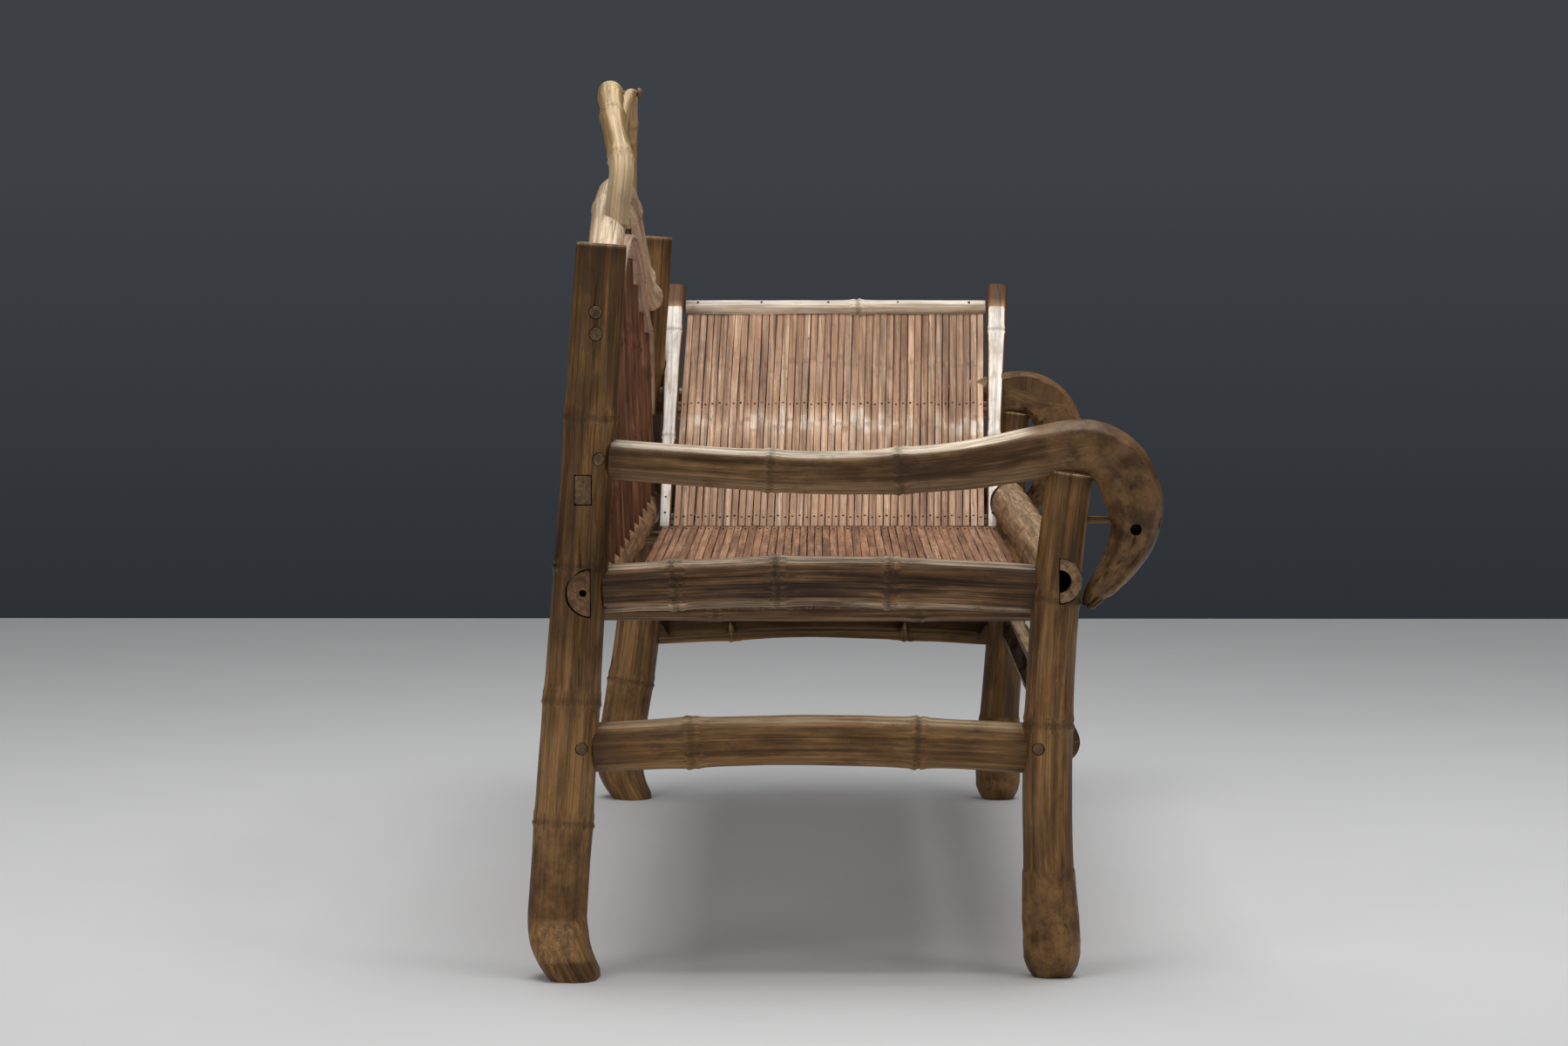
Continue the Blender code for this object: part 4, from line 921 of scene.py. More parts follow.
def half_culm(
    name, stations, side, face, nodes, seed, material, slot, node, wall=0.0065, lip=0.0, soot=1.0, band=0.0
):
    """A split culm, hollow behind, with a diaphragm at each node.

    face is the angle, in degrees, that its skin looks to. lip is how far its foot flares, and band is how
    much paler the strip along its foot is painted, partly as a paler sawn strip and partly as painted light
    bounced up from the floor.
    """
    culm = Culm(stations, side, nodes, 0.0022, seed)
    count, arc, sides = len(culm.path), SPLIT_ARC, 2 * SPLIT_ARC
    turn = np.radians(face) + np.linspace(-math.pi / 2, math.pi / 2, arc)
    low = -np.sin(turn)[None]
    bumps = 0.0013 * over_skin(rough, culm.along[:, None], turn[None], 1, 9, seed * 5.1)
    far = culm.radius[:, None] + culm.node_rise(culm.along)[:, None] + bumps
    shave = 0.90 + 0.06 * value_noise(strand(culm.along * 12, seed))
    trim = np.clip(low, 0, 1) ** 6 * (culm.radius * (1 - shave))[:, None]
    flare = 0.75 + 0.5 * value_noise(strand(culm.along * 9, seed + 4))
    far = far - trim + lip * flare[:, None] * ramp(low, 0.45, 0.55)
    near = (culm.radius - wall)[:, None] + 0 * far
    for spot in culm.nodes:
        near = near * (1 - bell(culm.along, spot, 0.0032)[:, None] * DIAPHRAGM)
    from_end = np.minimum(culm.along, culm.length - culm.along)
    near = near * (1 - DIAPHRAGM * np.exp(-((from_end / 0.012) ** 4))[:, None])
    angles, size = np.concatenate([turn, turn[::-1]]), np.concatenate([far, near[:, ::-1]], 1)
    strips, top = range(arc - 1), (count - 1) * sides
    faces = quads(count, sides) + [[s + 1, s, sides - 1 - s, sides - 2 - s] for s in strips]
    faces += [[top + s, top + s + 1, top + sides - 2 - s, top + sides - 1 - s] for s in strips]
    made = add_object(name, culm.rings(angles, size).reshape(-1, 3), faces)
    made.data.set_sharp_from_angle(angle=math.radians(42))
    paint(made, culm, depth_stain=False, soot=soot)
    # Painted shade: the hollow inner face of the split culm is darkened through the cut attribute.
    hollow = np.concatenate([np.zeros((count, arc)), np.full((count, arc), 0.55)], 1)
    made.data.attributes["cut"].data.foreach_set("value", hollow.ravel())
    # Painted bounce light, with a paler sawn strip: the lowest strip of the skin is made paler.
    arched = 0.62 - 0.28 * np.sin(math.pi * culm.along / culm.length)
    sawn = ramp(low - arched[:, None], 0, 0.06)
    add_tone(made, np.concatenate([band * sawn, np.zeros((count, arc))], 1).ravel())
    dress(made, material, slot, node)


def end_member(side, z, radius):
    x = side * (END_X - SPLIT_INSET)
    start = rear_y(side, z) - rear_radius(z) + SEATING
    stop = front_y(side, z) + front_radius(z) - SEATING
    stations = []
    for share in np.linspace(0, 1, 130):
        rise = END_ARCH * math.sin(math.pi * share)
        stations.append((x, start + (stop - start) * share, z + rise, radius))
    return np.array(stations)


def end_frame(end_name, side):
    rear_post(end_name, side)
    front_post(end_name, side)
    arm(end_name, side)
    rail = end_member(side, END_RAIL_Z, END_RAIL_RADIUS)
    half_culm(
        f"{end_name}_seat_rail_skin", rail, (1, 0, 0), outward(side), (0.16, 0.395, 0.655), 2.2 + side,
        RAIL, "aged_culm", f"{end_name}_seat_rail", lip=RAIL_LIP, band=RAIL_BAND,
    )
    bar = end_member(side, STRETCHER_Z, STRETCHER_RADIUS)
    half_culm(
        f"{end_name}_stretcher_skin", bar, (1, 0, 0), outward(side), (0.22, 0.742), 6.4 + side,
        POST, "aged_culm", f"{end_name}_stretcher", lip=STRETCHER_LIP,
    )


def front_stretcher():
    reach = END_X - front_radius(FRONT_STRETCHER_Z) + SEATING
    bar = lengthwise_bar(reach, FRONT_STRETCHER_Y, FRONT_STRETCHER_Z, FRONT_STRETCHER_RADIUS)
    half_culm(
        "front_stretcher_skin", bar, (0, 1, 0), 180, (0.16, 0.33, 0.50, 0.67, 0.84), 4.1,
        POST, "aged_culm", "front_stretcher", soot=0.2,
    )


# Long rails


def long_rail(name, y, z, radius, outer, nodes, seed, material, slot):
    """A culm whose outer half runs on through both posts, with a hollow, or only a pith hole, in each end."""
    end = END_X + TENON_REACH + TENON_PROUD
    culm = Culm(lengthwise_bar(end, y, z, radius), (0, 1, 0), nodes, 0.0021, seed)
    post_radius = front_radius(z) if outer < 0 else rear_radius(z)
    hole_y, hole_radius = (y, HOLLOW_RADIUS) if outer < 0 else (y + PITH_SHIFT, PITH_RADIUS)
    cutters = []
    for _, side in ENDS:
        xs = sorted((side * (END_X - post_radius + SEATING), side * (end + 0.1)))
        ys = sorted((y, y - outer * 0.1))
        cutters.append(block("cheek", (xs[0], ys[0], z - 0.1), (xs[1], ys[1], z + 0.1)))
        start, stop = (side * (end + 0.01), hole_y, z), (side * (end - HOLLOW_DEPTH), hole_y, z)
        cutters.append(rod("hollow", start, stop, hole_radius))
    piece(name, culm, skin(culm, 48, lump=0.0015), material, slot, 0.0008, cutters, soot=0.4)


def long_rails():
    front_nodes = (0.10, 0.22, 0.35, 0.49, 0.63, 0.77, 0.90)
    long_rail("front_seat_rail", *RAILS[0], -1, front_nodes, 1.7, HONEY, "honey_culm")
    rear_nodes = (0.09, 0.25, 0.42, 0.59, 0.76, 0.91)
    long_rail("rear_seat_rail", *RAILS[1], 1, rear_nodes, 3.9, WARM, "aged_culm")


def lower_rail():
    y, z = LOWER_RAIL_Y, LOWER_RAIL_Z
    reach = END_X - rear_radius(z) + DEEP_SEATING
    culm = Culm(lengthwise_bar(reach, y, z, LOWER_RAIL_RADIUS), (0, 1, 0), (0.2, 0.45, 0.7), 0.0018, 3.4)
    piece("lower_back_rail", culm, skin(culm, 36, lump=0.0012), POLE, "red_pole")
    wide, tall = LOWER_TENON_WIDTH / 2, LOWER_TENON_HEIGHT / 2
    angles = full_turn(48)
    square = 1 / np.maximum(np.abs(np.cos(angles)) / wide, np.abs(np.sin(angles)) / tall)
    for end_name, side in ENDS:
        tip = END_X + TENON_REACH + LOWER_TENON_PROUD
        start, stop = (side * (END_X - 0.05), y, z), (side * tip, y, z)
        culm = Culm(straight(start, stop, tall, spacing=0.003), (0, 1, 0), (), 0, 8.8 + side)
        tenon = piece(
            "lower_back_rail", culm, culm.rings(angles, square[None]), PEG, "red_pole", 0.0010,
            name=f"{end_name}_lower_tenon", depth_stain=False, soot=0.7,
        )
        tenon.data.set_sharp_from_angle(angle=math.radians(50))


# Back


def top_rail():
    reach = END_X - rear_radius(TOP_RAIL_Z) + DEEP_SEATING
    xs = np.linspace(-reach, reach, 420)
    stations = np.array([(x, top_rail_y(x), top_rail_z(x), TOP_RAIL_RADIUS) for x in xs])
    culm = Culm(stations, (0, 1, 0), (0.14, 0.37, 0.63, 0.86), 0.0020, 4.6)
    piece("back_top_rail", culm, skin(culm, 44, flats=((-90, 0.93),), lump=0.0015), TOP, "aged_culm")


def arch_path():
    """Centre line of the bent strip under the top rail, as (x, z)."""
    bend, drop = ARCH_CORNER, ARCH_DROP
    leg_x = END_X - ARCH_SIDE_GAP
    shoulder = leg_x - bend
    foot_z = LOWER_RAIL_Z + 0.9 * LOWER_RAIL_RADIUS
    corner_z = top_rail_z(shoulder) - drop - bend
    half = [(leg_x, foot_z)]
    for i in range(9):
        angle = math.pi / 2 * i / 8
        half.append((shoulder + bend * math.cos(angle), corner_z + bend * math.sin(angle)))
    for i in range(1, 21):
        x = shoulder * (1 - i / 20)
        half.append((x, top_rail_z(x) - drop))
    return [(-x, z) for x, z in half[:-1]] + half[::-1]


def inner_arch():
    y = top_rail_y(0) - BACK_BOW / 2
    wide, thick = ARCH_WIDTH / 2, ARCH_THICKNESS / 2
    stations = smooth([(x, y, z, wide) for x, z in arch_path()], 0.005)
    culm = Culm(stations, (0, 1, 0), (0.12, 0.31, 0.5, 0.69, 0.88), 0.0009, 7.2)
    angles = full_turn(32)
    across, up = np.abs(np.cos(angles)), np.abs(np.sin(angles))
    rounded = 1 / ((across / wide) ** 5 + (up / thick) ** 5) ** 0.2
    size = rounded[None] + culm.node_rise(culm.along)[:, None] * up[None]
    piece("back_inner_arch", culm, culm.rings(angles, size), STRIP, "split_slat", 0.0010, depth_stain=False)
    return culm


def spindle_x(i):
    return (i / (SPINDLE_COUNT - 1) - 0.5) * (SPINDLE_COUNT - 1) * SPINDLE_PITCH


def spindles():
    drop = math.sqrt(REAR_RAIL_RADIUS ** 2 - (REAR_RAIL_Y - SPINDLE_FOOT_Y) ** 2)
    foot = REAR_RAIL_Z + drop - SPINDLE_TENON
    for i in range(SPINDLE_COUNT):
        x = spindle_x(i)
        head = top_rail_z(x) - TOP_RAIL_RADIUS + SPINDLE_TENON
        stations = straight((x, SPINDLE_FOOT_Y, foot), (x, top_rail_y(x), head), SPINDLE_RADIUS, 0.0035)
        nodes = (0.22 + 0.03 * (i % 3), 0.58 + 0.04 * (i % 2))
        culm = Culm(stations, (1, 0, 0), nodes, 0.0016, 0.7 * i + 0.3)
        rings = skin(culm, 24, lump=0.0007, wave=0.0006)
        piece(f"back_spindle_{i + 1:02d}", culm, rings, POLE, "red_pole")


# Crest


def loop_stations(span, radius, tip_radius, foot_y, apex_y, tip_y):
    """A bent pole that rises from the top rail, crosses the middle and comes down again."""
    half = span / 2
    foot_z = top_rail_z(half) + 0.35 * TOP_RAIL_RADIUS
    height = CREST_APEX - foot_z
    points = [
        (-half, foot_y, foot_z, radius),
        (-0.97 * half, foot_y, foot_z + 0.42 * height, radius),
        (-0.66 * half, (foot_y + apex_y) / 2, foot_z + 0.84 * height, radius),
        (0, apex_y, CREST_APEX, radius),
        (0.66 * half, (tip_y + apex_y) / 2, foot_z + 0.84 * height, radius),
        (0.97 * half, tip_y, foot_z + 0.42 * height, (radius + tip_radius) / 2),
        (half, tip_y, foot_z, tip_radius),
    ]
    return smooth(points, 0.0035)


CREST_FOOT_Y = top_rail_y(CREST_SPAN / 2)
CREST_APEX_Y = CREST_FOOT_Y + CREST_LEAN
SLIM_APEX_Y = CREST_APEX_Y - CREST_RADIUS - SLIM_RADIUS - SLIM_GAP


def crest_loop():
    near, far = CREST_FOOT_Y - CREST_TWIST / 2, CREST_FOOT_Y + CREST_TWIST / 2
    stations = loop_stations(CREST_SPAN, CREST_RADIUS, CREST_TIP_RADIUS, near, CREST_APEX_Y, far)
    lift = stations[:, 2] - stations[:, 2].min()
    bend = CREST_BEND * bell(lift, CREST_BEND_Z, CREST_BEND_SPREAD)
    stations[:, 1] -= np.where(stations[:, 0] < 0, bend, 0)
    culm = Culm(stations, (0, 1, 0), (0.10, 0.21, 0.34, 0.48, 0.62, 0.76, 0.89), 0.0016, 2.9)

    # Painted light: the near limb is painted paler towards its foot, where the lamps leave it in shade.
    def pale(along):
        return 0.33 * ramp(along, 0.125, -0.045)

    piece("crest_loop", culm, skin(culm, 36, lump=0.0011), CREST, "honey_culm", soot=0.2, pale=pale)


def slim_loop():
    foot_y = top_rail_y(SLIM_SPAN / 2) - 0.5 * TOP_RAIL_RADIUS
    stations = loop_stations(SLIM_SPAN, SLIM_RADIUS, SLIM_RADIUS, foot_y, SLIM_APEX_Y, foot_y)
    culm = Culm(stations, (0, 1, 0), (0.12, 0.33, 0.55, 0.79), 0.0011, 6.6)
    piece("crest_slim_loop", culm, skin(culm, 28, lump=0.0007), CREST, "aged_culm")


def crest_peg():
    knob_y = SLIM_APEX_Y - SLIM_RADIUS
    profile = (
        (CREST_APEX_Y, CREST_PEG_RADIUS),
        (knob_y + 0.001, CREST_PEG_RADIUS),
        (knob_y - 0.001, CREST_KNOB_RADIUS),
        (knob_y - 0.005, 0.95 * CREST_KNOB_RADIUS),
        (knob_y - 0.0068, 0.55 * CREST_KNOB_RADIUS),
    )
    stations = smooth([(0, y, CREST_APEX, radius) for y, radius in profile], 0.0008)
    culm = Culm(stations, (1, 0, 0), (), 0, 1.1)
    piece("crest_peg", culm, skin(culm, 28, lump=0.0003), PEG, "aged_culm", 0.0005, depth_stain=False)


# Slats


def random_of(index, salt):
    return float(value_noise(np.array([[index * 7.31 + salt * 3.7, salt * 11.9, index * 1.7 + 0.5]]))[0])


def slat_y(i, count):
    """How far a slat lies from the middle of its row."""
    return (i - (count - 1) / 2) * SLAT_PITCH


def slat_section(width):
    """A slat's outline, as offsets across and up: a crowned top over a flat underside."""
    angle = np.linspace(0, 2 * math.pi, 12, endpoint=False)
    across = width / 2 * np.sign(np.cos(angle)) * np.abs(np.cos(angle)) ** 0.35
    crown = SLAT_CROWN * np.abs(np.sin(angle)) ** 0.8
    under = -SLAT_THICKNESS * np.abs(np.sin(angle)) ** 0.3
    return across, np.where(np.sin(angle) >= 0, crown, under)


def slat_knots(run, length, draws):
    """Height and mark of a slat's nodes along its run."""
    bump, mark = np.zeros(len(run)), np.zeros(len(run))
    for k, draw in enumerate(draws):
        d = (run / length - (0.13 + 0.10 * draw + 0.27 * k)) * length
        bump += KNOT_RISE * bell(d, 0, 0.006)
        mark = np.maximum(mark, bell(d, 0, 0.008))
    return bump, mark


def slat_row(name, count, start, stop, up, salt, length, material, node, soot=1.0, flare=None):
    """A row of split slats as one object.

    start and stop are points of the middle slat's top face, and flare is where along them a painted highlight
    lies across the slats.
    """
    direction = (stop - start) / np.linalg.norm(stop - start)
    sideways = np.array([0, 1, 0])
    run = np.linspace(0, 1, max(2, int(length / 0.008)) + 1) * length
    rows, faces, base = [], [], 0
    for i in range(count):
        draw = [random_of(i, salt + k) for k in range(11)]
        y = slat_y(i, count)
        across, rise = slat_section(SLAT_WIDTH * (0.96 + 0.22 * draw[0]))
        bump, mark = slat_knots(run, length, draw[3:7])
        drift = SLAT_DRIFT * rough(strand(run * 6, i * 3.1 + salt), 2)
        heave = SLAT_HEAVE * rough(strand(run * 5, i * 5.7 + salt + 9), 2)
        lift = SLAT_LIFT * (draw[1] - 0.6) + heave - SLAT_CROWN
        middle = start + direction * run[:, None] + sideways * (y + drift)[:, None] + up * lift[:, None]
        height = rise[None] + bump[:, None] * (rise > 0)[None]
        ring = middle[:, None, :] + sideways * across[:, None] + up * height[:, :, None]
        verts, slat_faces = closed(ring + SHIFT, 0.0009)
        faces += [[base + k for k in face] for face in slat_faces]
        base += len(verts)
        local = verts - SHIFT - start
        s = local @ direction
        place = np.stack([local[:, 1] - y + 0.3 * i, local @ up, s + 1.7 * i + salt], 1)
        tone = PLAIN + 0.42 * (draw[2] - 0.5) + 0 * s
        # Painted highlight: each slat is painted paler in a band near flare.
        if flare is not None:
            spot, reach = flare + 0.035 * (draw[8] - 0.5), 0.016 + 0.03 * draw[9]
            tone = tone + 0.42 * draw[10] ** 0.7 * bell(s, spot, reach)
        ends = 0.7 * bell(np.minimum(s, length - s), 0, END_SOOT)
        rows.append((verts, place, np.interp(s, run, mark), tone, ends))
    verts, place, marks, tone, ends = (np.concatenate(column) for column in zip(*rows))
    made = add_object(name, verts, faces)
    store(made, place, marks, 0.0, tone, soot * ends)
    dress(made, material, "split_slat", node)


def seat():
    start = np.array([-END_X + SLAT_END_GAP, SLAT_MIDDLE_Y, SEAT_TOP])
    stop = np.array([HEADREST_FOOT_X, SLAT_MIDDLE_Y, SEAT_TOP])
    up = np.array([0.0, 0, 1])
    slat_row("seat_slats", SLAT_COUNT, start, stop, up, 21, stop[0] - start[0], SEAT, "seat_slat_bed")
    first = -END_X + SLAT_END_GAP + 2 * BEARER_RADIUS
    last = HEADREST_FOOT_X - 3.5 * BEARER_RADIUS
    spots = [first + (last - first) * i / (BEARER_COUNT - 1) for i in range(BEARER_COUNT)]
    for i, x in enumerate(spots):
        bearer(i, x)
    return spots


def bearer(i, x):
    half = ((SLAT_COUNT - 1) * SLAT_PITCH + SLAT_WIDTH) / 2 + BED_MARGIN
    z = SEAT_TOP - SLAT_THICKNESS + BITE
    start, stop = (x, FRONT_RAIL_Y - BEARER_OVERHANG, z), (x, REAR_RAIL_Y + BEARER_OVERHANG, z)
    culm = Culm(straight(start, stop, BEARER_RADIUS), (1, 0, 0), (0.3, 0.72), 0.0012, 3.3 * i + 0.4)
    cutters = [block("bed", (x - 0.1, SLAT_MIDDLE_Y - half, z), (x + 0.1, SLAT_MIDDLE_Y + half, z + 0.1))]
    for rail_y, rail_z, radius in RAILS:
        start, stop = (x - 0.1, rail_y, rail_z), (x + 0.1, rail_y, rail_z)
        cutters.append(rod("cope", start, stop, radius + BEARER_GAP))
    piece(
        "seat_slat_bed", culm, skin(culm, 32, lump=0.0010), RAIL, "split_slat",
        cutters=cutters, name=f"seat_bearer_{i + 1}", depth_stain=False,
    )


# Headrest

SLOPE = np.array([math.cos(HEADREST_SLOPE), 0, math.sin(HEADREST_SLOPE)])
OUT = np.array([-math.sin(HEADREST_SLOPE), 0, math.cos(HEADREST_SLOPE)])
HEADREST_FIELD = (HEADREST_SLATS - 1) * SLAT_PITCH + SLAT_WIDTH
CAP_SPOT = HEADREST_SLAT_LENGTH - CAP_RADIUS


def on_headrest(s, y, h):
    return np.array([HEADREST_FOOT_X, y, SEAT_TOP]) + s * SLOPE + h * OUT


def headrest_middle(s):
    return HEADREST_MIDDLE_Y - HEADREST_DRIFT * s / STILE_LENGTH


def stile_radius(s):
    return STILE_FOOT_RADIUS + (STILE_TOP_RADIUS - STILE_FOOT_RADIUS) * s / STILE_LENGTH


def stile_spot(side, s, h):
    """A point on a stile's line and the stile's radius there."""
    radius = stile_radius(s)
    y = headrest_middle(s) + side * (HEADREST_FIELD / 2 + STILE_GAP + radius)
    return (*on_headrest(s, y, h), radius)


def stile_cutters(side):
    """The seat's plane, the head-end arm, the seat rail below and, at the back, the rear post."""
    over = arm_stations(1)
    over[:, 3] += 0.0008
    y, z, radius = RAILS[side > 0]
    cutters = [
        block("foot", (0, -1, SEAT_TOP - 0.1), (1.5, 1, SEAT_TOP + 0.0003)),
        cutting_tube("over_arm", over),
        rod("cope", (0.5, y, z), (0.87, y, z), radius + STILE_COPE_GAP),
    ]
    if side > 0:
        heights = np.arange(0.5, 0.8, 0.02)
        post = [(END_X, rear_y(1, z), z, rear_radius(z) + 0.0025) for z in heights]
        cutters.append(cutting_tube("beside", post))
    return cutters


def stile(label, side):
    """A tapered stile whose top face has been worn flat and pale, and is painted paler still as a highlight.
    """
    points = [stile_spot(side, s, -STILE_SINK) for s in (-0.018, 0.14, 0.30, 0.46, STILE_LENGTH)]
    culm = Culm(smooth(points, 0.0035), (0, 1, 0), (0.37, 0.80), 0.0012, 5.5 + side)
    top = -90 if culm.up[0] @ OUT < 0 else 90
    facets = ((top, 0.80), (0, 0.90), (180, 0.90), (-top, 0.90))
    rings = skin(culm, 56, flats=facets, lump=0.0009)
    node = f"headrest_{label}_stile"
    made = piece(node, culm, rings, STILE, "split_slat", 0.0045, stile_cutters(side))
    local = vertex_rows(made, "co") - SHIFT - on_headrest(0, 0, -STILE_SINK)
    s, h = local @ SLOPE, local @ OUT
    # Painted highlight: the top face is paler, partly from real wear and partly as light from above; the
    # sides are darker.
    worn_and_lit = ramp(h / stile_radius(s), 0.60, 0.12) * ramp(s, 0.525, -0.03)
    made.data.attributes["tone"].data.foreach_set("value", 0.16 + 0.78 * worn_and_lit)


def strip_across(s, h, radius, beyond):
    """Stations of a strip across the headrest that runs on beyond the slats at both sides."""
    middle = on_headrest(s, headrest_middle(s), h)
    reach = np.array([0, HEADREST_FIELD / 2 + STILE_GAP + beyond, 0])
    return straight(middle - reach, middle + reach, radius)


def headrest():
    length = HEADREST_SLAT_LENGTH
    start, stop = on_headrest(0.001, headrest_middle(0), 0), on_headrest(length, headrest_middle(length), 0)
    slat_row(
        "headrest_slats", HEADREST_SLATS, start, stop, OUT, 43, length, SLAT, "headrest_slat_panel",
        soot=0.5, flare=0.235,
    )
    under = 90 if np.cross((0, 1, 0), SLOPE) @ OUT < 0 else -90
    for i, s in enumerate(CROSS_SPOTS):
        strip = strip_across(s, -SLAT_THICKNESS, CROSS_RADIUS, CROSS_TENON)
        half_culm(
            f"headrest_cross_{i + 1}", strip, SLOPE, under, (0.3, 0.7), 1.9 + i,
            RAIL, "split_slat", "headrest_slat_panel", wall=0.004,
        )
    for label, side in STILES:
        stile(label, side)
    strip = strip_across(CAP_SPOT, 0.0004, CAP_RADIUS, -0.0006)
    half_culm(
        "headrest_cap_skin", strip, SLOPE, -under, (0.42,), 8.2,
        CAP, "split_slat", "headrest_cap", wall=0.006,
    )


# Pegs and nails


def peg(node, start, stop, radius, seed, material=PEG, slot="peg_wood"):
    culm = Culm(straight(start, stop, radius, spacing=0.0015), (0, 0.3, 1), (), 0, seed)
    piece(node, culm, skin(culm, 28, lump=0.0005, lump_scale=60), material, slot, 0.0009, depth_stain=False)


def pegs(end_name, side):
    for label, (y, z, radius, post) in peg_spots(side).items():
        root, face = 0.010, math.sqrt(post ** 2 - (post - PEG_INSET) ** 2) + 0.0008
        if "dowel" in label:
            root, face = 0.005, 0.86 * post + 0.0012
        start, stop = (side * (END_X + root), y, z), (side * (END_X + face), y, z)
        peg(f"{end_name}_{label}", start, stop, radius, 3 * z)
    depth, _, size = PIN_STATION
    start = front_y(side, PIN_Z) - front_radius(PIN_Z) + 0.003
    stop = front_y(side, FRONT_HEIGHT) + depth * SCROLL_RADIUS + size * SCROLL_RADIUS - 0.004
    start, stop = (side * END_X, start, PIN_Z), (side * END_X, stop, PIN_Z)
    peg(f"{end_name}_scroll_pin", start, stop, PIN_RADIUS, 2.5, POST, "aged_culm")


def nails(name, spots, normal, radius=0.0016, proud=0.0007):
    """Small domed nail heads at the given points of the drawing frame."""
    normal = np.array(normal, float) / np.linalg.norm(normal)
    a = np.cross(normal, (0.3, 0.9, 0.2))
    a = a / np.linalg.norm(a)
    b = np.cross(normal, a)
    sides, sink = 10, -0.0012
    layers = ((1.0, sink), (1.0, 0.2 * proud), (0.7, 0.8 * proud))
    verts, faces = [], []
    for spot in spots:
        base, centre = len(verts), np.array(spot) + SHIFT
        for size, height in layers:
            for t in full_turn(sides):
                spoke = math.cos(t) * a + math.sin(t) * b
                verts.append(centre + radius * size * spoke + height * normal)
        verts += [centre + proud * normal, centre + sink * normal]
        rim, top = base + (len(layers) - 1) * sides, base + len(layers) * sides
        faces += [[base + corner for corner in face] for face in quads(len(layers), sides)]
        faces += [[rim + j, rim + (j + 1) % sides, top] for j in range(sides)]
        faces += [[base + (j + 1) % sides, base + j, top + 1] for j in range(sides)]
    dress(add_object(name, verts, faces), NAIL, "peg_wood")


def all_nails(bearers, arch):
    above = 0.0002
    spots = []
    for x in bearers:
        for i in range(SLAT_COUNT):
            y = SLAT_MIDDLE_Y + slat_y(i, SLAT_COUNT)
            spots.append((x + 0.002 * ((i * 7) % 3 - 1), y, SEAT_TOP + above))
    nails("seat_nails", spots, (0, 0, 1))
    spots = []
    for s in CROSS_SPOTS:
        for i in range(HEADREST_SLATS):
            y = headrest_middle(s) + slat_y(i, HEADREST_SLATS)
            spots.append(on_headrest(s + 0.002 * ((i * 5) % 3 - 1), y, above))
    nails("headrest_nails", spots, OUT)
    middle, reach = headrest_middle(CAP_SPOT), HEADREST_FIELD / 2
    shares = (-0.9, -0.42, 0.05, 0.5, 0.93)
    spots = [on_headrest(CAP_SPOT, middle + reach * share, CAP_RADIUS + above) for share in shares]
    nails("cap_nails", spots, OUT, 0.0018)
    for label, side in STILES:
        spots = [stile_spot(side, s, 0.0048)[:3] for s in (0.025, 0.060)]
        nails(f"{label}_stile_nails", spots, OUT, 0.0018)
    strip = (arch.path - SHIFT)[6:-6]
    face_y = top_rail_y(0) - BACK_BOW / 2 - ARCH_WIDTH / 2
    spots = []
    for x in map(spindle_x, range(SPINDLE_COUNT)):
        spots.append((x, face_y, np.interp(x, strip[:, 0], strip[:, 2])))
    nails("arch_nails", spots, (0, -1, 0), 0.0015)


# Stage, light and camera

FLOOR_SIDE = 9
FLOOR_END = 4.26  # where the photograph's horizon lies
CAMERA_PLACE, CAMERA_TARGET, CAMERA_LENS = (-6.777, 0.030, 0.879), (-0.9, 0.0715, 0.524), 117.6


def stage():
    """A plain floor that ends at the photograph's horizon."""
    near, far, side = -FLOOR_SIDE, FLOOR_END, FLOOR_SIDE
    corners = [(near, -side, 0), (far, -side, 0), (far, side, 0), (near, side, 0)]
    floor = add_object("floor", corners, [(0, 1, 2, 3)])
    n = Nodes("floor")
    grain = n.noise(n.add("ShaderNodeTexCoord").outputs["Object"], (3, 3, 3))
    colour = n.mix(grain, linear((206, 207, 209)), linear((211, 212, 214)))
    floor.data.materials.append(n.finish(Base_Color=colour, Roughness=0.6))


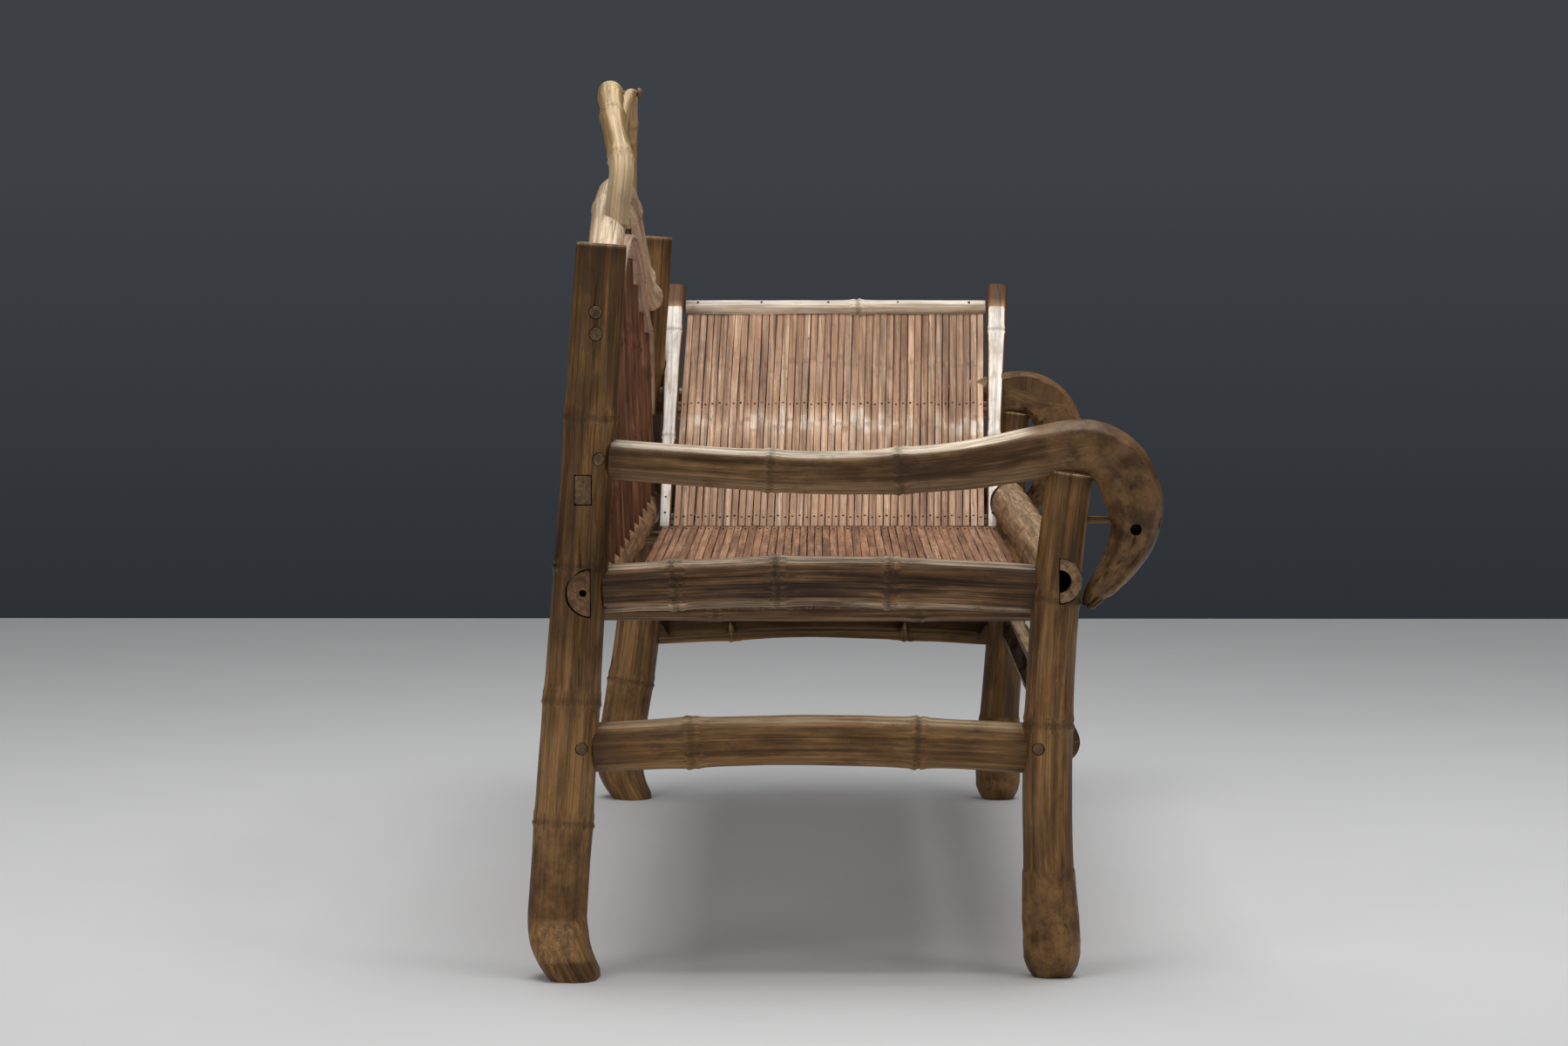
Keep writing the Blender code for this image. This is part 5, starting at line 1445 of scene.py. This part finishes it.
def backdrop(world):
    """White light for the object, and slate where the camera or a reflection looks past the floor."""
    tree = world.node_tree
    white = tree.nodes["Background"]
    white.inputs["Color"].default_value = (1.0, 1.0, 1.0, 1)
    white.inputs["Strength"].default_value = 0.30
    slate = tree.nodes.new("ShaderNodeBackground")
    height = tree.nodes.new("ShaderNodeSeparateXYZ")
    tree.links.new(tree.nodes.new("ShaderNodeTexCoord").outputs["Generated"], height.inputs[0])
    fade = tree.nodes.new("ShaderNodeMapRange")
    fade.inputs["From Min"].default_value = -0.08
    fade.inputs["From Max"].default_value = 0.01
    tree.links.new(height.outputs["Z"], fade.inputs["Value"])
    shade = tree.nodes.new("ShaderNodeMix")
    shade.data_type = "RGBA"
    shade.inputs[6].default_value = (*linear((44, 47, 52)), 1)
    shade.inputs[7].default_value = (*linear((61, 65, 69)), 1)
    tree.links.new(fade.outputs["Result"], shade.inputs[0])
    tree.links.new(shade.outputs[2], slate.inputs["Color"])
    path = tree.nodes.new("ShaderNodeLightPath")
    seen = path.outputs["Is Camera Ray"]
    for kind in ("Is Glossy Ray", "Is Transmission Ray"):
        either = tree.nodes.new("ShaderNodeMath")
        either.operation = "MAXIMUM"
        tree.links.new(seen, either.inputs[0])
        tree.links.new(path.outputs[kind], either.inputs[1])
        seen = either.outputs["Value"]
    blend = tree.nodes.new("ShaderNodeMixShader")
    for socket, source in zip(blend.inputs, (seen, white.outputs[0], slate.outputs[0])):
        tree.links.new(source, socket)
    tree.links.new(blend.outputs[0], tree.nodes["World Output"].inputs["Surface"])


def aim(made, place, target):
    made.location = place
    made.rotation_euler = (target - place).to_track_quat("-Z", "Y").to_euler()
    bpy.context.scene.collection.objects.link(made)


def lamp(name, place, target, size, power, colour):
    data = bpy.data.lights.new(name, "AREA")
    data.shape = "SQUARE"
    data.size = size
    data.energy = power
    data.color = colour
    aim(bpy.data.objects.new(name, data), Vector(place), Vector(target))


def light():
    world = bpy.data.worlds.new("studio")
    bpy.context.scene.world = world
    world.use_nodes = True
    backdrop(world)
    lamp("overhead", (-0.2, -0.1, 3.6), (-0.2, -0.1, 0), 3.0, 118, (1.0, 0.99, 0.97))
    lamp("front_left", (-4.2, 2.6, 2.4), (-0.6, 0, 0.5), 1.8, 42, (1.0, 0.97, 0.93))
    lamp("front_right", (-3.6, -3.4, 1.8), (-0.6, 0, 0.5), 1.6, 29, (1.0, 0.98, 0.96))


def camera():
    data = bpy.data.cameras.new("photo_camera")
    data.sensor_width = 36.0
    data.lens = CAMERA_LENS
    made = bpy.data.objects.new("photo_camera", data)
    aim(made, Vector(CAMERA_PLACE) + Vector(SHIFT), Vector(CAMERA_TARGET) + Vector(SHIFT))
    bpy.context.scene.camera = made


def main():
    for end_name, side in ENDS:
        end_frame(end_name, side)
        pegs(end_name, side)
    long_rails()
    front_stretcher()
    lower_rail()
    top_rail()
    arch = inner_arch()
    spindles()
    crest_loop()
    slim_loop()
    crest_peg()
    bearers = seat()
    headrest()
    all_nails(bearers, arch)
    stage()
    light()
    camera()
    bpy.context.scene.view_settings.view_transform = "Standard"


main()
